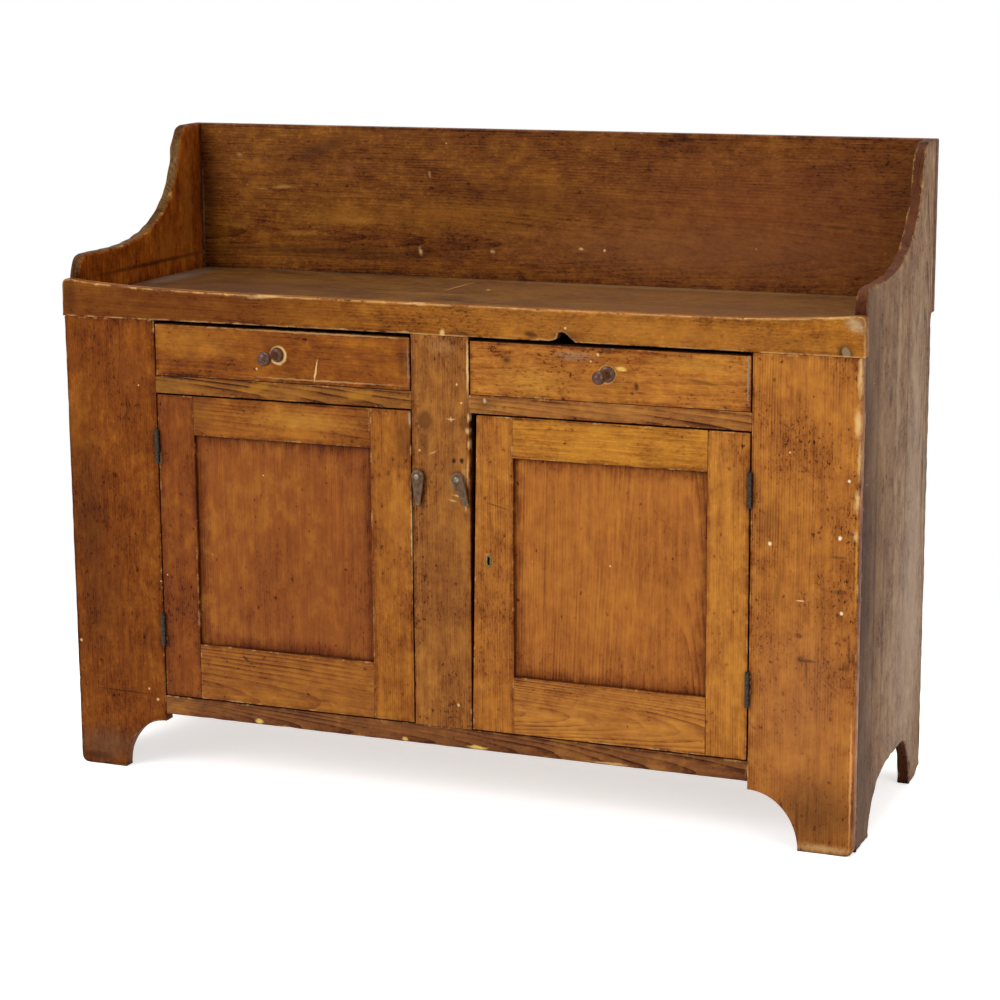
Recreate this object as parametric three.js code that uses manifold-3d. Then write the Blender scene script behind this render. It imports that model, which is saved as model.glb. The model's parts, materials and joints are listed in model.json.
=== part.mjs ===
// Country pine dry sink: a two-door, two-drawer cupboard under a shallow well
// with an S-curved gallery. Millimetres, +Z up, front towards -Y, +X to the
// viewer's right. The origin is the centre of the footprint, on the floor.
import * as THREE from "three";
import { mergeVertices } from "three/addons/utils/BufferGeometryUtils.js";
import Module from "manifold-3d";

// Overall sizes
const OVERALL_WIDTH = 1270;
const OVERALL_HEIGHT = 990;
const CASE_DEPTH = 422;
const FIT = 0.3;
const OVERRUN = 5;

// Boards
const SIDE_THICKNESS = 19;
const FRAME_THICKNESS = 20;
const DECK_THICKNESS = 20;
const SHELF_THICKNESS = 19;
const BACK_THICKNESS = 12;
const BACKSPLASH_THICKNESS = 20;
const DADO_DEPTH = 6;
const RABBET_DEPTH = 9.5;
const BACK_BOARD_COUNT = 3;

// Heights of the front, from the floor up
const RAIL_CLEARANCE = 96;
const BOTTOM_RAIL_HEIGHT = 30;
const DOOR_OPENING_HEIGHT = 483;
const DRAWER_RAIL_HEIGHT = 27;
const DRAWER_OPENING_HEIGHT = 85;
const TOP_RAIL_HEIGHT = 58;

// Widths of the front
const RAIL_OVERHANG = 3;
const SIDE_STILE_WIDTH = 157;
const CENTRE_STILE_WIDTH = 92;

// Well, gallery and shelves
const DECK_DROP = 30;
const RAIL_DISH = 12;
const DISH_POWER = 6;
const RAIL_CORNER_RADIUS = 6;
const NOTCH_FROM_CENTRE = 193;
const NOTCH_WIDTH = 38;
const NOTCH_HEIGHT = 14;
const NOTCH_SHARES = [[-0.5, 0], [-0.28, 0.3], [-0.2, 1], [0.06, 1], [0.2, 0.55], [0.5, 0]];
const GALLERY_LOW_RISE = 34;
const GALLERY_NOSE_RADIUS = 26;
const GALLERY_FLAT_LENGTH = 100;
const GALLERY_SWEEP_LENGTH = 228;
const GALLERY_TOP_RADIUS = 30;
const GALLERY_LOW_PULL_SHARE = 0.57;
const GALLERY_HIGH_PULL_SHARE = 0.68;
const GALLERY_LEAN_SHARE = 0.06;
const BACKSPLASH_LAP = 2;
const FLOOR_LIP = 5;
const SHELF_HEIGHT = 350;
const SHELF_SETBACK = 50;

// Feet
const ARCH_HEIGHT = 84;
const FRONT_FOOT_WIDTH = 81;
const FOOT_CORNER_RADIUS = 8;
const SIDE_FRONT_FOOT_LENGTH = 93;
const SIDE_FRONT_SWEEP = 125;
const SIDE_BACK_FOOT_LENGTH = 70;
const SIDE_BACK_SWEEP = 55;
const BACK_FOOT_WORN_LENGTH = 34;
const BACK_FOOT_WORN_HEIGHT = 12;
const BACK_BOARD_CLEARANCE = 100;

// Face frame joints
const TENON_THICKNESS = 7;
const TENON_LENGTH = 15;
const TENON_SHOULDER = 5;
const TENON_BACKING = 6;

// Doors
const DOOR_THICKNESS = 19;
const DOOR_SIDE_GAP = 2;
const DOOR_TOP_GAP = 2.5;
const DOOR_BOTTOM_GAP = 2;
const HINGE_STILE_WIDTH = 62;
const LATCH_STILE_WIDTH = 66;
const DOOR_TOP_RAIL_HEIGHT = 60;
const DOOR_BOTTOM_RAIL_HEIGHT = 87;
const RIGHT_DOOR_TAPER = 10;
const PANEL_THICKNESS = 7;
const PANEL_RECESS = 6;
const GROOVE_DEPTH = 8;
const PANEL_EDGE_GAP = 1;
const DOOR_TENON_LENGTH = 38;
const DOOR_TENON_HAUNCH = 12;

// Butt hinges
const HINGE_LENGTH = 50;
const HINGE_FROM_DOOR_TOP = 57;
const HINGE_FROM_DOOR_BOTTOM = 80;
const LEAF_THICKNESS = 2;
const LEAF_WIDTH = 16;
const LEAF_PROUD = 0.6;
const BARREL_RADIUS = 3.2;
const BARREL_AXIS_REACH = 3.8;
const PIN_RADIUS = 1.5;
const PIN_HEAD_HEIGHT = 2;
const KNUCKLE_GAP = 0.4;

// Turn buttons
const BUTTON_HEIGHT = 510;
const BUTTON_ROUND_RADIUS = 10;
const BUTTON_TIP_RADIUS = 4;
const BUTTON_REACH = 39;
const BUTTON_THICKNESS = 9;
const BUTTON_CHAMFER = 2.5;
const BUTTON_STANDOFF = 0.8;
const LEFT_PIVOT_INSET = 11;
const RIGHT_PIVOT_INSET = 17;
const RIGHT_BUTTON_TILT = 25;
const SCREW_RADIUS = 2.2;
const SCREW_HEAD_RADIUS = 4;
const SCREW_HEAD_HEIGHT = 2;
const SCREW_DEPTH = 16;
const SCREW_DOME_SHARE = 0.6;

// Lock on the right door
const KEYHOLE_HEIGHT = 389;
const KEYHOLE_INSET = 27;
const KEYHOLE_LENGTH = 18;
const LINER_WIDTH = 9.2;
const LINER_WALL = 2.6;
const LINER_DEPTH = 4;
const LOCK_WIDTH = 56;
const LOCK_HEIGHT = 46;
const LOCK_THICKNESS = 13;
const LOCK_INSET = 7;
const BOLT_LENGTH = 34;
const BOLT_HEIGHT = 12;
const BOLT_THICKNESS = 6;
const BOLT_RISE = 15;
const LOCK_BELOW_SHARE = 0.7;

// Drawers
const DRAWER_SIDE_GAP = 2;
const DRAWER_BOTTOM_GAP = 0.6;
const DRAWER_TOP_GAP = 5.5;
const DRAWER_SIDE_THICKNESS = 12;
const DRAWER_SIDE_DROP = 8;
const DRAWER_BACK_INSET = 12;
const DRAWER_BOTTOM_THICKNESS = 7;
const DRAWER_BOTTOM_RISE = 9;
const DRAWER_GROOVE_DEPTH = 6;
const TAIL_LENGTH = 12;
const TAIL_COUNT = 3;
const TAIL_FLARE = 2;
const TAIL_WIDTH_SHARE = 0.62;
const DRAWER_DADO_DEPTH = 4;
const DRAWER_BACK_DROP = 6;
const RUNNER_THICKNESS = 20;
const RUNNER_LEDGE = 26;
const GUIDE_HEIGHT = 34;
const GUIDE_WIDTH = 18;

// Knobs
const KNOB_BASE_RADIUS = 9.5;
const KNOB_BASE_THICKNESS = 4;
const KNOB_NECK_RADIUS = 5.5;
const KNOB_PEG_RADIUS = 5;
const KNOB_PEG_END = 3;
const LEFT_KNOB_REACH = 50;
const LEFT_KNOB_HEAD_RADIUS = 11;
const RIGHT_KNOB_REACH = 46;
const RIGHT_KNOB_HEAD_RADIUS = 9.6;
const LEFT_KNOB_OFFSET = -5.5;
const HEAD_LENGTH_SHARE = 0.8;
const NECK_STEPS = 4;
const HEAD_STEPS = 8;
const ROUND_STEPS = 16;
const DISH_STEPS = 32;

const wasm = await Module();
wasm.setup();

// Levels and planes worked out from the sizes above
const CASE_HALF = OVERALL_WIDTH / 2 - RAIL_OVERHANG;
const INNER_HALF = CASE_HALF - SIDE_THICKNESS;
const BOTTOM_RAIL_TOP = RAIL_CLEARANCE + BOTTOM_RAIL_HEIGHT;
const DRAWER_RAIL_BOTTOM = BOTTOM_RAIL_TOP + DOOR_OPENING_HEIGHT;
const DRAWER_RAIL_TOP = DRAWER_RAIL_BOTTOM + DRAWER_RAIL_HEIGHT;
const TOP_RAIL_BOTTOM = DRAWER_RAIL_TOP + DRAWER_OPENING_HEIGHT;
const TOP_RAIL_TOP = TOP_RAIL_BOTTOM + TOP_RAIL_HEIGHT;
const DECK_TOP = TOP_RAIL_TOP - DECK_DROP;
const DECK_UNDERSIDE = DECK_TOP - DECK_THICKNESS;
const OPENING_OUTER = CASE_HALF - SIDE_STILE_WIDTH;
const OPENING_INNER = CENTRE_STILE_WIDTH / 2;
const BACK_FACE = CASE_DEPTH - BACK_THICKNESS;
const FRAME_BACK = FRAME_THICKNESS + FIT;
const LARGEST_KNOB_REACH = Math.max(LEFT_KNOB_REACH, RIGHT_KNOB_REACH);
const TOTAL_BACK = CASE_DEPTH + FIT + BACKSPLASH_THICKNESS;

const PINE_FRONT = new THREE.MeshStandardMaterial({ color: 0x9a5e26, roughness: 0.45 });
const PINE_PANEL = new THREE.MeshStandardMaterial({ color: 0x8c4a1d, roughness: 0.45 });
const PINE_SIDE = new THREE.MeshStandardMaterial({ color: 0x6e4a2c, roughness: 0.5 });
const PINE_GALLERY = new THREE.MeshStandardMaterial({ color: 0x63351a, roughness: 0.45 });
const PINE_DECK = new THREE.MeshStandardMaterial({ color: 0x523320, roughness: 0.4 });
const PINE_BARE = new THREE.MeshStandardMaterial({ color: 0xb58a5a, roughness: 0.75 });
const TURNED_WOOD = new THREE.MeshStandardMaterial({ color: 0x43281a, roughness: 0.35 });
const IRON = new THREE.MeshStandardMaterial({ color: 0x3c3632, roughness: 0.6, metalness: 0.9 });
const BRASS = new THREE.MeshStandardMaterial({ color: 0x8a744c, roughness: 0.5, metalness: 0.9 });

// Spans and solids
function span(x, y, z) {
  return { x, y, z };
}

function grown(part, by) {
  const wider = ([low, high]) => [low - by, high + by];
  return span(wider(part.x), wider(part.y), wider(part.z));
}

function block({ x, y, z }) {
  const geometry = new THREE.BoxGeometry(x[1] - x[0], y[1] - y[0], z[1] - z[0]);
  return geometry.translate((x[0] + x[1]) / 2, (y[0] + y[1]) / 2, (z[0] + z[1]) / 2);
}

// A front outline in x and z, from y0 back to y1
function frontOutline(shape, y0, y1) {
  const geometry = new THREE.ExtrudeGeometry(shape, { depth: y1 - y0, bevelEnabled: false });
  return geometry.rotateX(Math.PI / 2).translate(0, y1, 0);
}

// A side outline in y and z, from x0 to x1
function sideOutline(shape, x0, x1) {
  const geometry = new THREE.ExtrudeGeometry(shape, { depth: x1 - x0, bevelEnabled: false });
  return geometry.rotateX(Math.PI / 2).rotateZ(Math.PI / 2).translate(x0, 0, 0);
}

function solid(geometry) {
  const bare = geometry.clone();
  bare.deleteAttribute("normal");
  bare.deleteAttribute("uv");
  const merged = mergeVertices(bare);
  const vertProperties = new Float32Array(merged.attributes.position.array);
  const triVerts = new Uint32Array(merged.index.array);
  return new wasm.Manifold(new wasm.Mesh({ numProp: 3, vertProperties, triVerts }));
}

function geometryOf(manifold) {
  const { vertProperties, triVerts } = manifold.getMesh();
  const geometry = new THREE.BufferGeometry();
  geometry.setAttribute("position", new THREE.BufferAttribute(new Float32Array(vertProperties), 3));
  geometry.setIndex(new THREE.BufferAttribute(new Uint32Array(triVerts), 1));
  const faceted = geometry.toNonIndexed();
  faceted.computeVertexNormals();
  return faceted;
}

function joined(...geometries) {
  return geometryOf(geometries.map(solid).reduce((sum, next) => sum.add(next)));
}

function cut(geometry, ...tools) {
  return geometryOf(tools.map(solid).reduce((rest, tool) => rest.subtract(tool), solid(geometry)));
}

function piece(name, geometry, material) {
  const mesh = new THREE.Mesh(geometry, material);
  mesh.name = name;
  return mesh;
}

function ordered(a, b) {
  return a < b ? [a, b] : [b, a];
}

// Gallery side: S-curved top, arched foot, dadoes and a rabbet for the back
function gallerySideShape() {
  const low = TOP_RAIL_TOP + GALLERY_LOW_RISE;
  const noseCentre = FRAME_BACK + GALLERY_NOSE_RADIUS;
  const sweepStart = FRAME_BACK + GALLERY_FLAT_LENGTH;
  const sweepEnd = sweepStart + GALLERY_SWEEP_LENGTH;
  const crest = OVERALL_HEIGHT - GALLERY_TOP_RADIUS;
  const lean = GALLERY_SWEEP_LENGTH * GALLERY_LEAN_SHARE;
  const shape = new THREE.Shape();
  shape.moveTo(SIDE_FRONT_FOOT_LENGTH, 0);
  const archFront = SIDE_FRONT_FOOT_LENGTH + SIDE_FRONT_SWEEP;
  const archBack = CASE_DEPTH - SIDE_BACK_FOOT_LENGTH - SIDE_BACK_SWEEP;
  shape.absellipse(archFront, 0, SIDE_FRONT_SWEEP, ARCH_HEIGHT, Math.PI, Math.PI / 2, true);
  shape.absellipse(archBack, 0, SIDE_BACK_SWEEP, ARCH_HEIGHT, Math.PI / 2, 0, true);
  shape.lineTo(CASE_DEPTH - BACK_FOOT_WORN_LENGTH, 0);
  shape.lineTo(CASE_DEPTH, BACK_FOOT_WORN_HEIGHT);
  shape.lineTo(CASE_DEPTH, OVERALL_HEIGHT);
  shape.lineTo(sweepEnd + GALLERY_TOP_RADIUS, OVERALL_HEIGHT);
  shape.quadraticCurveTo(sweepEnd + lean, OVERALL_HEIGHT, sweepEnd, crest);
  shape.bezierCurveTo(
    sweepEnd - lean,
    crest - (crest - low) * GALLERY_HIGH_PULL_SHARE,
    sweepStart + GALLERY_SWEEP_LENGTH * GALLERY_LOW_PULL_SHARE,
    low,
    sweepStart,
    low,
  );
  shape.lineTo(noseCentre, low);
  shape.absarc(noseCentre, low - GALLERY_NOSE_RADIUS, GALLERY_NOSE_RADIUS, Math.PI / 2, Math.PI);
  shape.lineTo(FRAME_BACK, 0);
  shape.closePath();
  return shape;
}

function caseSide(side) {
  const [x0, x1] = ordered(side * INNER_HALF, side * CASE_HALF);
  const dado = ordered(side * (INNER_HALF - OVERRUN), side * (INNER_HALF + DADO_DEPTH));
  const rabbet = ordered(side * (INNER_HALF - OVERRUN), side * (INNER_HALF + RABBET_DEPTH));
  const back = [BACK_FACE - FIT, CASE_DEPTH + OVERRUN];
  const slots = [deckSpan(), floorSpan(), shelfSpan()].map((board) => {
    const room = grown(board, FIT);
    return block(span(dado, room.y, room.z));
  });
  const backRoom = block(span(rabbet, back, [BACK_BOARD_CLEARANCE - FIT, DECK_UNDERSIDE]));
  return cut(sideOutline(gallerySideShape(), x0, x1), ...slots, backRoom);
}

// Horizontal boards that run from side to side, each housed in the sides' dadoes
function housedBoard(y0, y1, top, thickness) {
  const reach = INNER_HALF + DADO_DEPTH - FIT;
  return span([-reach, reach], [y0, y1], [top - thickness, top]);
}

function deckSpan() {
  return housedBoard(FRAME_BACK, CASE_DEPTH, DECK_TOP, DECK_THICKNESS);
}

function floorSpan() {
  return housedBoard(FRAME_BACK, BACK_FACE - FIT, BOTTOM_RAIL_TOP + FLOOR_LIP, SHELF_THICKNESS);
}

function shelfSpan() {
  return housedBoard(FRAME_BACK + SHELF_SETBACK, BACK_FACE - FIT, SHELF_HEIGHT, SHELF_THICKNESS);
}

function backsplash() {
  const y = [CASE_DEPTH + FIT, TOTAL_BACK];
  return block(span([-CASE_HALF, CASE_HALF], y, [DECK_UNDERSIDE - BACKSPLASH_LAP, OVERALL_HEIGHT]));
}

function backBoard(index) {
  const reach = INNER_HALF + RABBET_DEPTH - FIT;
  const pitch = (DECK_UNDERSIDE - BACK_BOARD_CLEARANCE) / BACK_BOARD_COUNT;
  const low = BACK_BOARD_CLEARANCE + pitch * index;
  return block(span([-reach, reach], [BACK_FACE, CASE_DEPTH], [low, low + pitch - FIT]));
}

// Face frame: tenons are plain spans, and each mortise is its tenon's span grown by the fit
const TENON_Y = [TENON_BACKING, TENON_BACKING + TENON_THICKNESS];

function railTenon(x, z) {
  return span(x, TENON_Y, [z[0] + TENON_SHOULDER, z[1] - TENON_SHOULDER]);
}

function drawerRailZ() {
  return [DRAWER_RAIL_BOTTOM, DRAWER_RAIL_TOP];
}

function bottomRailZ() {
  return [RAIL_CLEARANCE, BOTTOM_RAIL_TOP];
}

function drawerRailTenons(side) {
  const outer = ordered(side * (OPENING_OUTER - OVERRUN), side * (OPENING_OUTER + TENON_LENGTH));
  const inner = ordered(side * (OPENING_INNER + OVERRUN), side * (OPENING_INNER - TENON_LENGTH));
  return [railTenon(outer, drawerRailZ()), railTenon(inner, drawerRailZ())];
}

function bottomRailTenon(side) {
  const x = ordered(side * (OPENING_OUTER - OVERRUN), side * (OPENING_OUTER + TENON_LENGTH));
  return railTenon(x, bottomRailZ());
}

function centreStileTenons() {
  const half = OPENING_INNER - TENON_SHOULDER;
  const top = [TOP_RAIL_BOTTOM - OVERRUN, TOP_RAIL_BOTTOM + TENON_LENGTH];
  const bottom = [BOTTOM_RAIL_TOP - TENON_LENGTH, BOTTOM_RAIL_TOP + OVERRUN];
  return [span([-half, half], TENON_Y, top), span([-half, half], TENON_Y, bottom)];
}

function mortise(tenon) {
  return block(grown(tenon, FIT));
}

// The top rail's upper edge is worn hollow along the middle, its ends are rounded, and its
// lower edge has a gnawed notch over the right drawer
function topRail() {
  const half = OVERALL_WIDTH / 2;
  const round = RAIL_CORNER_RADIUS;
  const shape = new THREE.Shape();
  shape.moveTo(-half, TOP_RAIL_BOTTOM);
  for (const [across, up] of NOTCH_SHARES) {
    shape.lineTo(NOTCH_FROM_CENTRE + NOTCH_WIDTH * across, TOP_RAIL_BOTTOM + NOTCH_HEIGHT * up);
  }
  shape.lineTo(half, TOP_RAIL_BOTTOM);
  shape.absarc(half - round, TOP_RAIL_TOP - round, round, 0, Math.PI / 2);
  for (let step = 1; step < DISH_STEPS; step += 1) {
    const share = 1 - (2 * step) / DISH_STEPS;
    const worn = RAIL_DISH * (1 - Math.abs(share) ** DISH_POWER);
    shape.lineTo(half * share, TOP_RAIL_TOP - worn);
  }
  shape.absarc(round - half, TOP_RAIL_TOP - round, round, Math.PI / 2, Math.PI);
  shape.closePath();
  return cut(frontOutline(shape, 0, FRAME_THICKNESS), mortise(centreStileTenons()[0]));
}

// Side stiles run down to the floor as feet, with a quarter-round arch
function sideStile(side) {
  const outer = CASE_HALF;
  const archEdge = outer - FRONT_FOOT_WIDTH;
  const archWidth = archEdge - OPENING_OUTER;
  const top = TOP_RAIL_BOTTOM - FIT;
  const corner = FOOT_CORNER_RADIUS;
  const shape = new THREE.Shape();
  shape.moveTo(outer, top);
  shape.lineTo(OPENING_OUTER, top);
  shape.lineTo(OPENING_OUTER, ARCH_HEIGHT);
  shape.absellipse(OPENING_OUTER, 0, archWidth, ARCH_HEIGHT, Math.PI / 2, 0, true);
  shape.lineTo(outer - corner, 0);
  shape.absarc(outer - corner, corner, corner, -Math.PI / 2, 0);
  shape.closePath();
  const board = frontOutline(shape, 0, FRAME_THICKNESS);
  if (side < 0) board.rotateZ(Math.PI).translate(0, FRAME_THICKNESS, 0);
  const mortises = [drawerRailTenons(side)[0], bottomRailTenon(side)].map(mortise);
  return cut(board, ...mortises, ...hingeRecesses(side, 1));
}

function centreStile() {
  const z = [BOTTOM_RAIL_TOP + FIT, TOP_RAIL_BOTTOM - FIT];
  const board = block(span([-OPENING_INNER, OPENING_INNER], [0, FRAME_THICKNESS], z));
  const tenons = centreStileTenons().map(block);
  const mortises = [-1, 1].map((side) => mortise(drawerRailTenons(side)[1]));
  const screwHoles = [-1, 1].map((side) =>
    drill(SCREW_RADIUS + FIT, -OVERRUN, SCREW_DEPTH + FIT, pivotX(side), BUTTON_HEIGHT));
  return cut(joined(board, ...tenons), ...mortises, ...screwHoles);
}

function drawerRail(side) {
  const x = ordered(side * (OPENING_INNER + FIT), side * (OPENING_OUTER - FIT));
  const board = block(span(x, [0, FRAME_THICKNESS], drawerRailZ()));
  return joined(board, ...drawerRailTenons(side).map(block));
}

function bottomRail() {
  const half = OPENING_OUTER - FIT;
  const board = block(span([-half, half], [0, FRAME_THICKNESS], bottomRailZ()));
  const tenons = [-1, 1].map((side) => block(bottomRailTenon(side)));
  return cut(joined(board, ...tenons), mortise(centreStileTenons()[1]));
}

// A round hole or rod along y
function drill(radius, y0, y1, x, z) {
  const rod = new THREE.CylinderGeometry(radius, radius, y1 - y0, ROUND_STEPS);
  return rod.translate(x, (y0 + y1) / 2, z);
}

// Drawer runners: a ledge under the drawer's side and a guide beside it
function runner(outline) {
  const shape = new THREE.Shape(outline.map(([x, z]) => new THREE.Vector2(x, z)));
  return frontOutline(shape, FRAME_BACK, BACK_FACE - FIT);
}

function outerRunner(side) {
  const inner = OPENING_OUTER - RUNNER_LEDGE;
  const outer = OPENING_OUTER + GUIDE_WIDTH;
  const under = DRAWER_RAIL_TOP - RUNNER_THICKNESS;
  const guideTop = DRAWER_RAIL_TOP + GUIDE_HEIGHT;
  return runner([
    [side * inner, under],
    [side * outer, under],
    [side * outer, guideTop],
    [side * OPENING_OUTER, guideTop],
    [side * OPENING_OUTER, DRAWER_RAIL_TOP],
    [side * inner, DRAWER_RAIL_TOP],
  ]);
}

function centreRunner() {
  const ledge = OPENING_INNER + RUNNER_LEDGE;
  const under = DRAWER_RAIL_TOP - RUNNER_THICKNESS;
  const guideTop = DRAWER_RAIL_TOP + GUIDE_HEIGHT;
  return runner([
    [-ledge, under],
    [ledge, under],
    [ledge, DRAWER_RAIL_TOP],
    [OPENING_INNER, DRAWER_RAIL_TOP],
    [OPENING_INNER, guideTop],
    [-OPENING_INNER, guideTop],
    [-OPENING_INNER, DRAWER_RAIL_TOP],
    [-ledge, DRAWER_RAIL_TOP],
  ]);
}

// Butt hinges: two leaves let into stile and door, three knuckles and a pin
const HINGE_AXIS_X = OPENING_OUTER - DOOR_SIDE_GAP / 2;
const DOOR_BOTTOM = BOTTOM_RAIL_TOP + DOOR_BOTTOM_GAP;
const DOOR_TOP = DRAWER_RAIL_BOTTOM - DOOR_TOP_GAP;
const DOOR_HINGE_EDGE = OPENING_OUTER - DOOR_SIDE_GAP;
const DOOR_LATCH_EDGE = OPENING_INNER + DOOR_SIDE_GAP;

function hingeBases() {
  return [DOOR_TOP - HINGE_FROM_DOOR_TOP - HINGE_LENGTH, DOOR_BOTTOM + HINGE_FROM_DOOR_BOTTOM];
}

// part is 1 for the leaf on the stile and -1 for the leaf on the door
function leafSpan(side, part, base) {
  const edge = part > 0 ? OPENING_OUTER - LEAF_PROUD : DOOR_HINGE_EDGE + LEAF_PROUD;
  const x = ordered(side * edge, side * (edge + part * LEAF_THICKNESS));
  return span(x, [0, LEAF_WIDTH], [base, base + HINGE_LENGTH]);
}

function hingeRecesses(side, part) {
  return hingeBases().map((base) => {
    const leaf = grown(leafSpan(side, part, base), FIT);
    return block(span(leaf.x, [-OVERRUN, leaf.y[1]], leaf.z));
  });
}

function post(radius, z0, z1) {
  const rod = new THREE.CylinderGeometry(radius, radius, z1 - z0, ROUND_STEPS);
  return rod.rotateX(Math.PI / 2).translate(0, 0, (z0 + z1) / 2);
}

function hingeLeaf(side, part, base) {
  const leaf = leafSpan(side, part, base);
  const axisX = side * HINGE_AXIS_X;
  const third = HINGE_LENGTH / 3;
  const ends = [[0, third], [2 * third, HINGE_LENGTH]];
  const levels = part > 0 ? ends : [[third, 2 * third]];
  const knuckles = levels.flatMap(([low, high]) => {
    const z = [
      base + low + (low > 0 ? KNUCKLE_GAP / 2 : 0),
      base + high - (high < HINGE_LENGTH ? KNUCKLE_GAP / 2 : 0),
    ];
    const barrel = post(BARREL_RADIUS, z[0], z[1]).translate(axisX, -BARREL_AXIS_REACH, 0);
    return [barrel, block(span(leaf.x, [-BARREL_AXIS_REACH, LEAF_THICKNESS], z))];
  });
  const bore = post(PIN_RADIUS + FIT, base - OVERRUN, base + HINGE_LENGTH + OVERRUN);
  return cut(joined(block(leaf), ...knuckles), bore.translate(axisX, -BARREL_AXIS_REACH, 0));
}

function hingePin(side, base) {
  const top = base + HINGE_LENGTH;
  const shank = post(PIN_RADIUS, base, top + PIN_HEAD_HEIGHT);
  const head = post(BARREL_RADIUS, top + FIT, top + PIN_HEAD_HEIGHT);
  return joined(shank, head).translate(side * HINGE_AXIS_X, -BARREL_AXIS_REACH, 0);
}

// Doors: mortised frames round a thin flat panel, x taken outwards from the centre line
const PANEL_INNER = DOOR_LATCH_EDGE + LATCH_STILE_WIDTH;
const PANEL_OUTER = DOOR_HINGE_EDGE - HINGE_STILE_WIDTH;
const PANEL_BOTTOM = DOOR_BOTTOM + DOOR_BOTTOM_RAIL_HEIGHT;
const PANEL_TOP = DOOR_TOP - DOOR_TOP_RAIL_HEIGHT;
const PANEL_Y = [PANEL_RECESS, PANEL_RECESS + PANEL_THICKNESS];

function panelSpan(side, tuck) {
  const x = ordered(side * (PANEL_INNER - tuck), side * (PANEL_OUTER + tuck));
  return span(x, PANEL_Y, [PANEL_BOTTOM - tuck, PANEL_TOP + tuck]);
}

function panelGroove(side) {
  const groove = panelSpan(side, GROOVE_DEPTH);
  return block(span(groove.x, [PANEL_Y[0] - FIT, PANEL_Y[1] + FIT], groove.z));
}

function doorTenons(side, z) {
  const latch = [PANEL_INNER - DOOR_TENON_LENGTH, PANEL_INNER + OVERRUN];
  const hinge = [PANEL_OUTER - OVERRUN, PANEL_OUTER + DOOR_TENON_LENGTH];
  return [latch, hinge].map(([a, b]) => span(ordered(side * a, side * b), PANEL_Y, z));
}

function topTenons(side) {
  return doorTenons(side, [PANEL_TOP + GROOVE_DEPTH + FIT, DOOR_TOP - DOOR_TENON_HAUNCH]);
}

function bottomTenons(side) {
  return doorTenons(side, [DOOR_BOTTOM + DOOR_TENON_HAUNCH, PANEL_BOTTOM - GROOVE_DEPTH - FIT]);
}

function doorRail(side, z, tenons) {
  const x = ordered(side * (PANEL_INNER + FIT), side * (PANEL_OUTER - FIT));
  const board = block(span(x, [0, DOOR_THICKNESS], z));
  return joined(cut(board, panelGroove(side)), ...tenons.map(block));
}

function hingeStile(side) {
  const x = ordered(side * PANEL_OUTER, side * DOOR_HINGE_EDGE);
  const board = block(span(x, [0, DOOR_THICKNESS], [DOOR_BOTTOM, DOOR_TOP]));
  const mortises = [topTenons(side)[1], bottomTenons(side)[1]].map(mortise);
  return cut(board, panelGroove(side), ...mortises, ...hingeRecesses(side, -1));
}

// The right door's latch edge was planed to clear the sagging frame
function latchStile(side) {
  const taper = side > 0 ? RIGHT_DOOR_TAPER : 0;
  const corners = [
    [DOOR_LATCH_EDGE, DOOR_BOTTOM],
    [PANEL_INNER, DOOR_BOTTOM],
    [PANEL_INNER, DOOR_TOP],
    [DOOR_LATCH_EDGE + taper, DOOR_TOP],
  ];
  const shape = new THREE.Shape(corners.map(([x, z]) => new THREE.Vector2(side * x, z)));
  const mortises = [topTenons(side)[0], bottomTenons(side)[0]].map(mortise);
  const board = cut(frontOutline(shape, 0, DOOR_THICKNESS), panelGroove(side), ...mortises);
  if (side < 0) return board;
  const rim = [LINER_WIDTH / 2 + FIT, KEYHOLE_LENGTH / 2 + FIT];
  return cut(board, keyholeSlot(...rim, -OVERRUN, LINER_DEPTH + FIT), keyPassage());
}

// Lock: a keyhole with a metal liner, a case behind the stile and a sliding bolt
const KEYHOLE_X = DOOR_LATCH_EDGE + KEYHOLE_INSET;
const KEY_HALF_WIDTH = LINER_WIDTH / 2 - LINER_WALL;
const KEY_HALF_LENGTH = KEYHOLE_LENGTH / 2 - LINER_WALL;
const LOCK_FACE = DOOR_THICKNESS + FIT;
const LOCK_EDGE = DOOR_LATCH_EDGE + LOCK_INSET;
const BOLT_Z = KEYHOLE_HEIGHT + BOLT_RISE;

// A round-ended slot between the depths y0 and y1
function keyholeSlot(halfWidth, halfLength, y0, y1) {
  const straight = halfLength - halfWidth;
  const shape = new THREE.Shape();
  shape.absarc(KEYHOLE_X, KEYHOLE_HEIGHT + straight, halfWidth, 0, Math.PI);
  shape.absarc(KEYHOLE_X, KEYHOLE_HEIGHT - straight, halfWidth, Math.PI, 2 * Math.PI);
  shape.closePath();
  return frontOutline(shape, y0, y1);
}

function keyPassage() {
  return keyholeSlot(KEY_HALF_WIDTH, KEY_HALF_LENGTH, -OVERRUN, LOCK_FACE + LOCK_THICKNESS / 2);
}

function keyholeLiner() {
  return cut(keyholeSlot(LINER_WIDTH / 2, KEYHOLE_LENGTH / 2, 0, LINER_DEPTH), keyPassage());
}

function boltSpan() {
  const y = LOCK_FACE + (LOCK_THICKNESS - BOLT_THICKNESS) / 2;
  const z = [BOLT_Z - BOLT_HEIGHT / 2, BOLT_Z + BOLT_HEIGHT / 2];
  return span([LOCK_EDGE, LOCK_EDGE + BOLT_LENGTH], [y, y + BOLT_THICKNESS], z);
}

function lockCase() {
  const x = [LOCK_EDGE, LOCK_EDGE + LOCK_WIDTH];
  const z = [BOLT_Z - LOCK_HEIGHT * LOCK_BELOW_SHARE, BOLT_Z + LOCK_HEIGHT * (1 - LOCK_BELOW_SHARE)];
  const room = grown(boltSpan(), FIT);
  const channel = block(span([LOCK_EDGE - OVERRUN, room.x[1]], room.y, room.z));
  return cut(block(span(x, [LOCK_FACE, LOCK_FACE + LOCK_THICKNESS], z)), channel, keyPassage());
}

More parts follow.
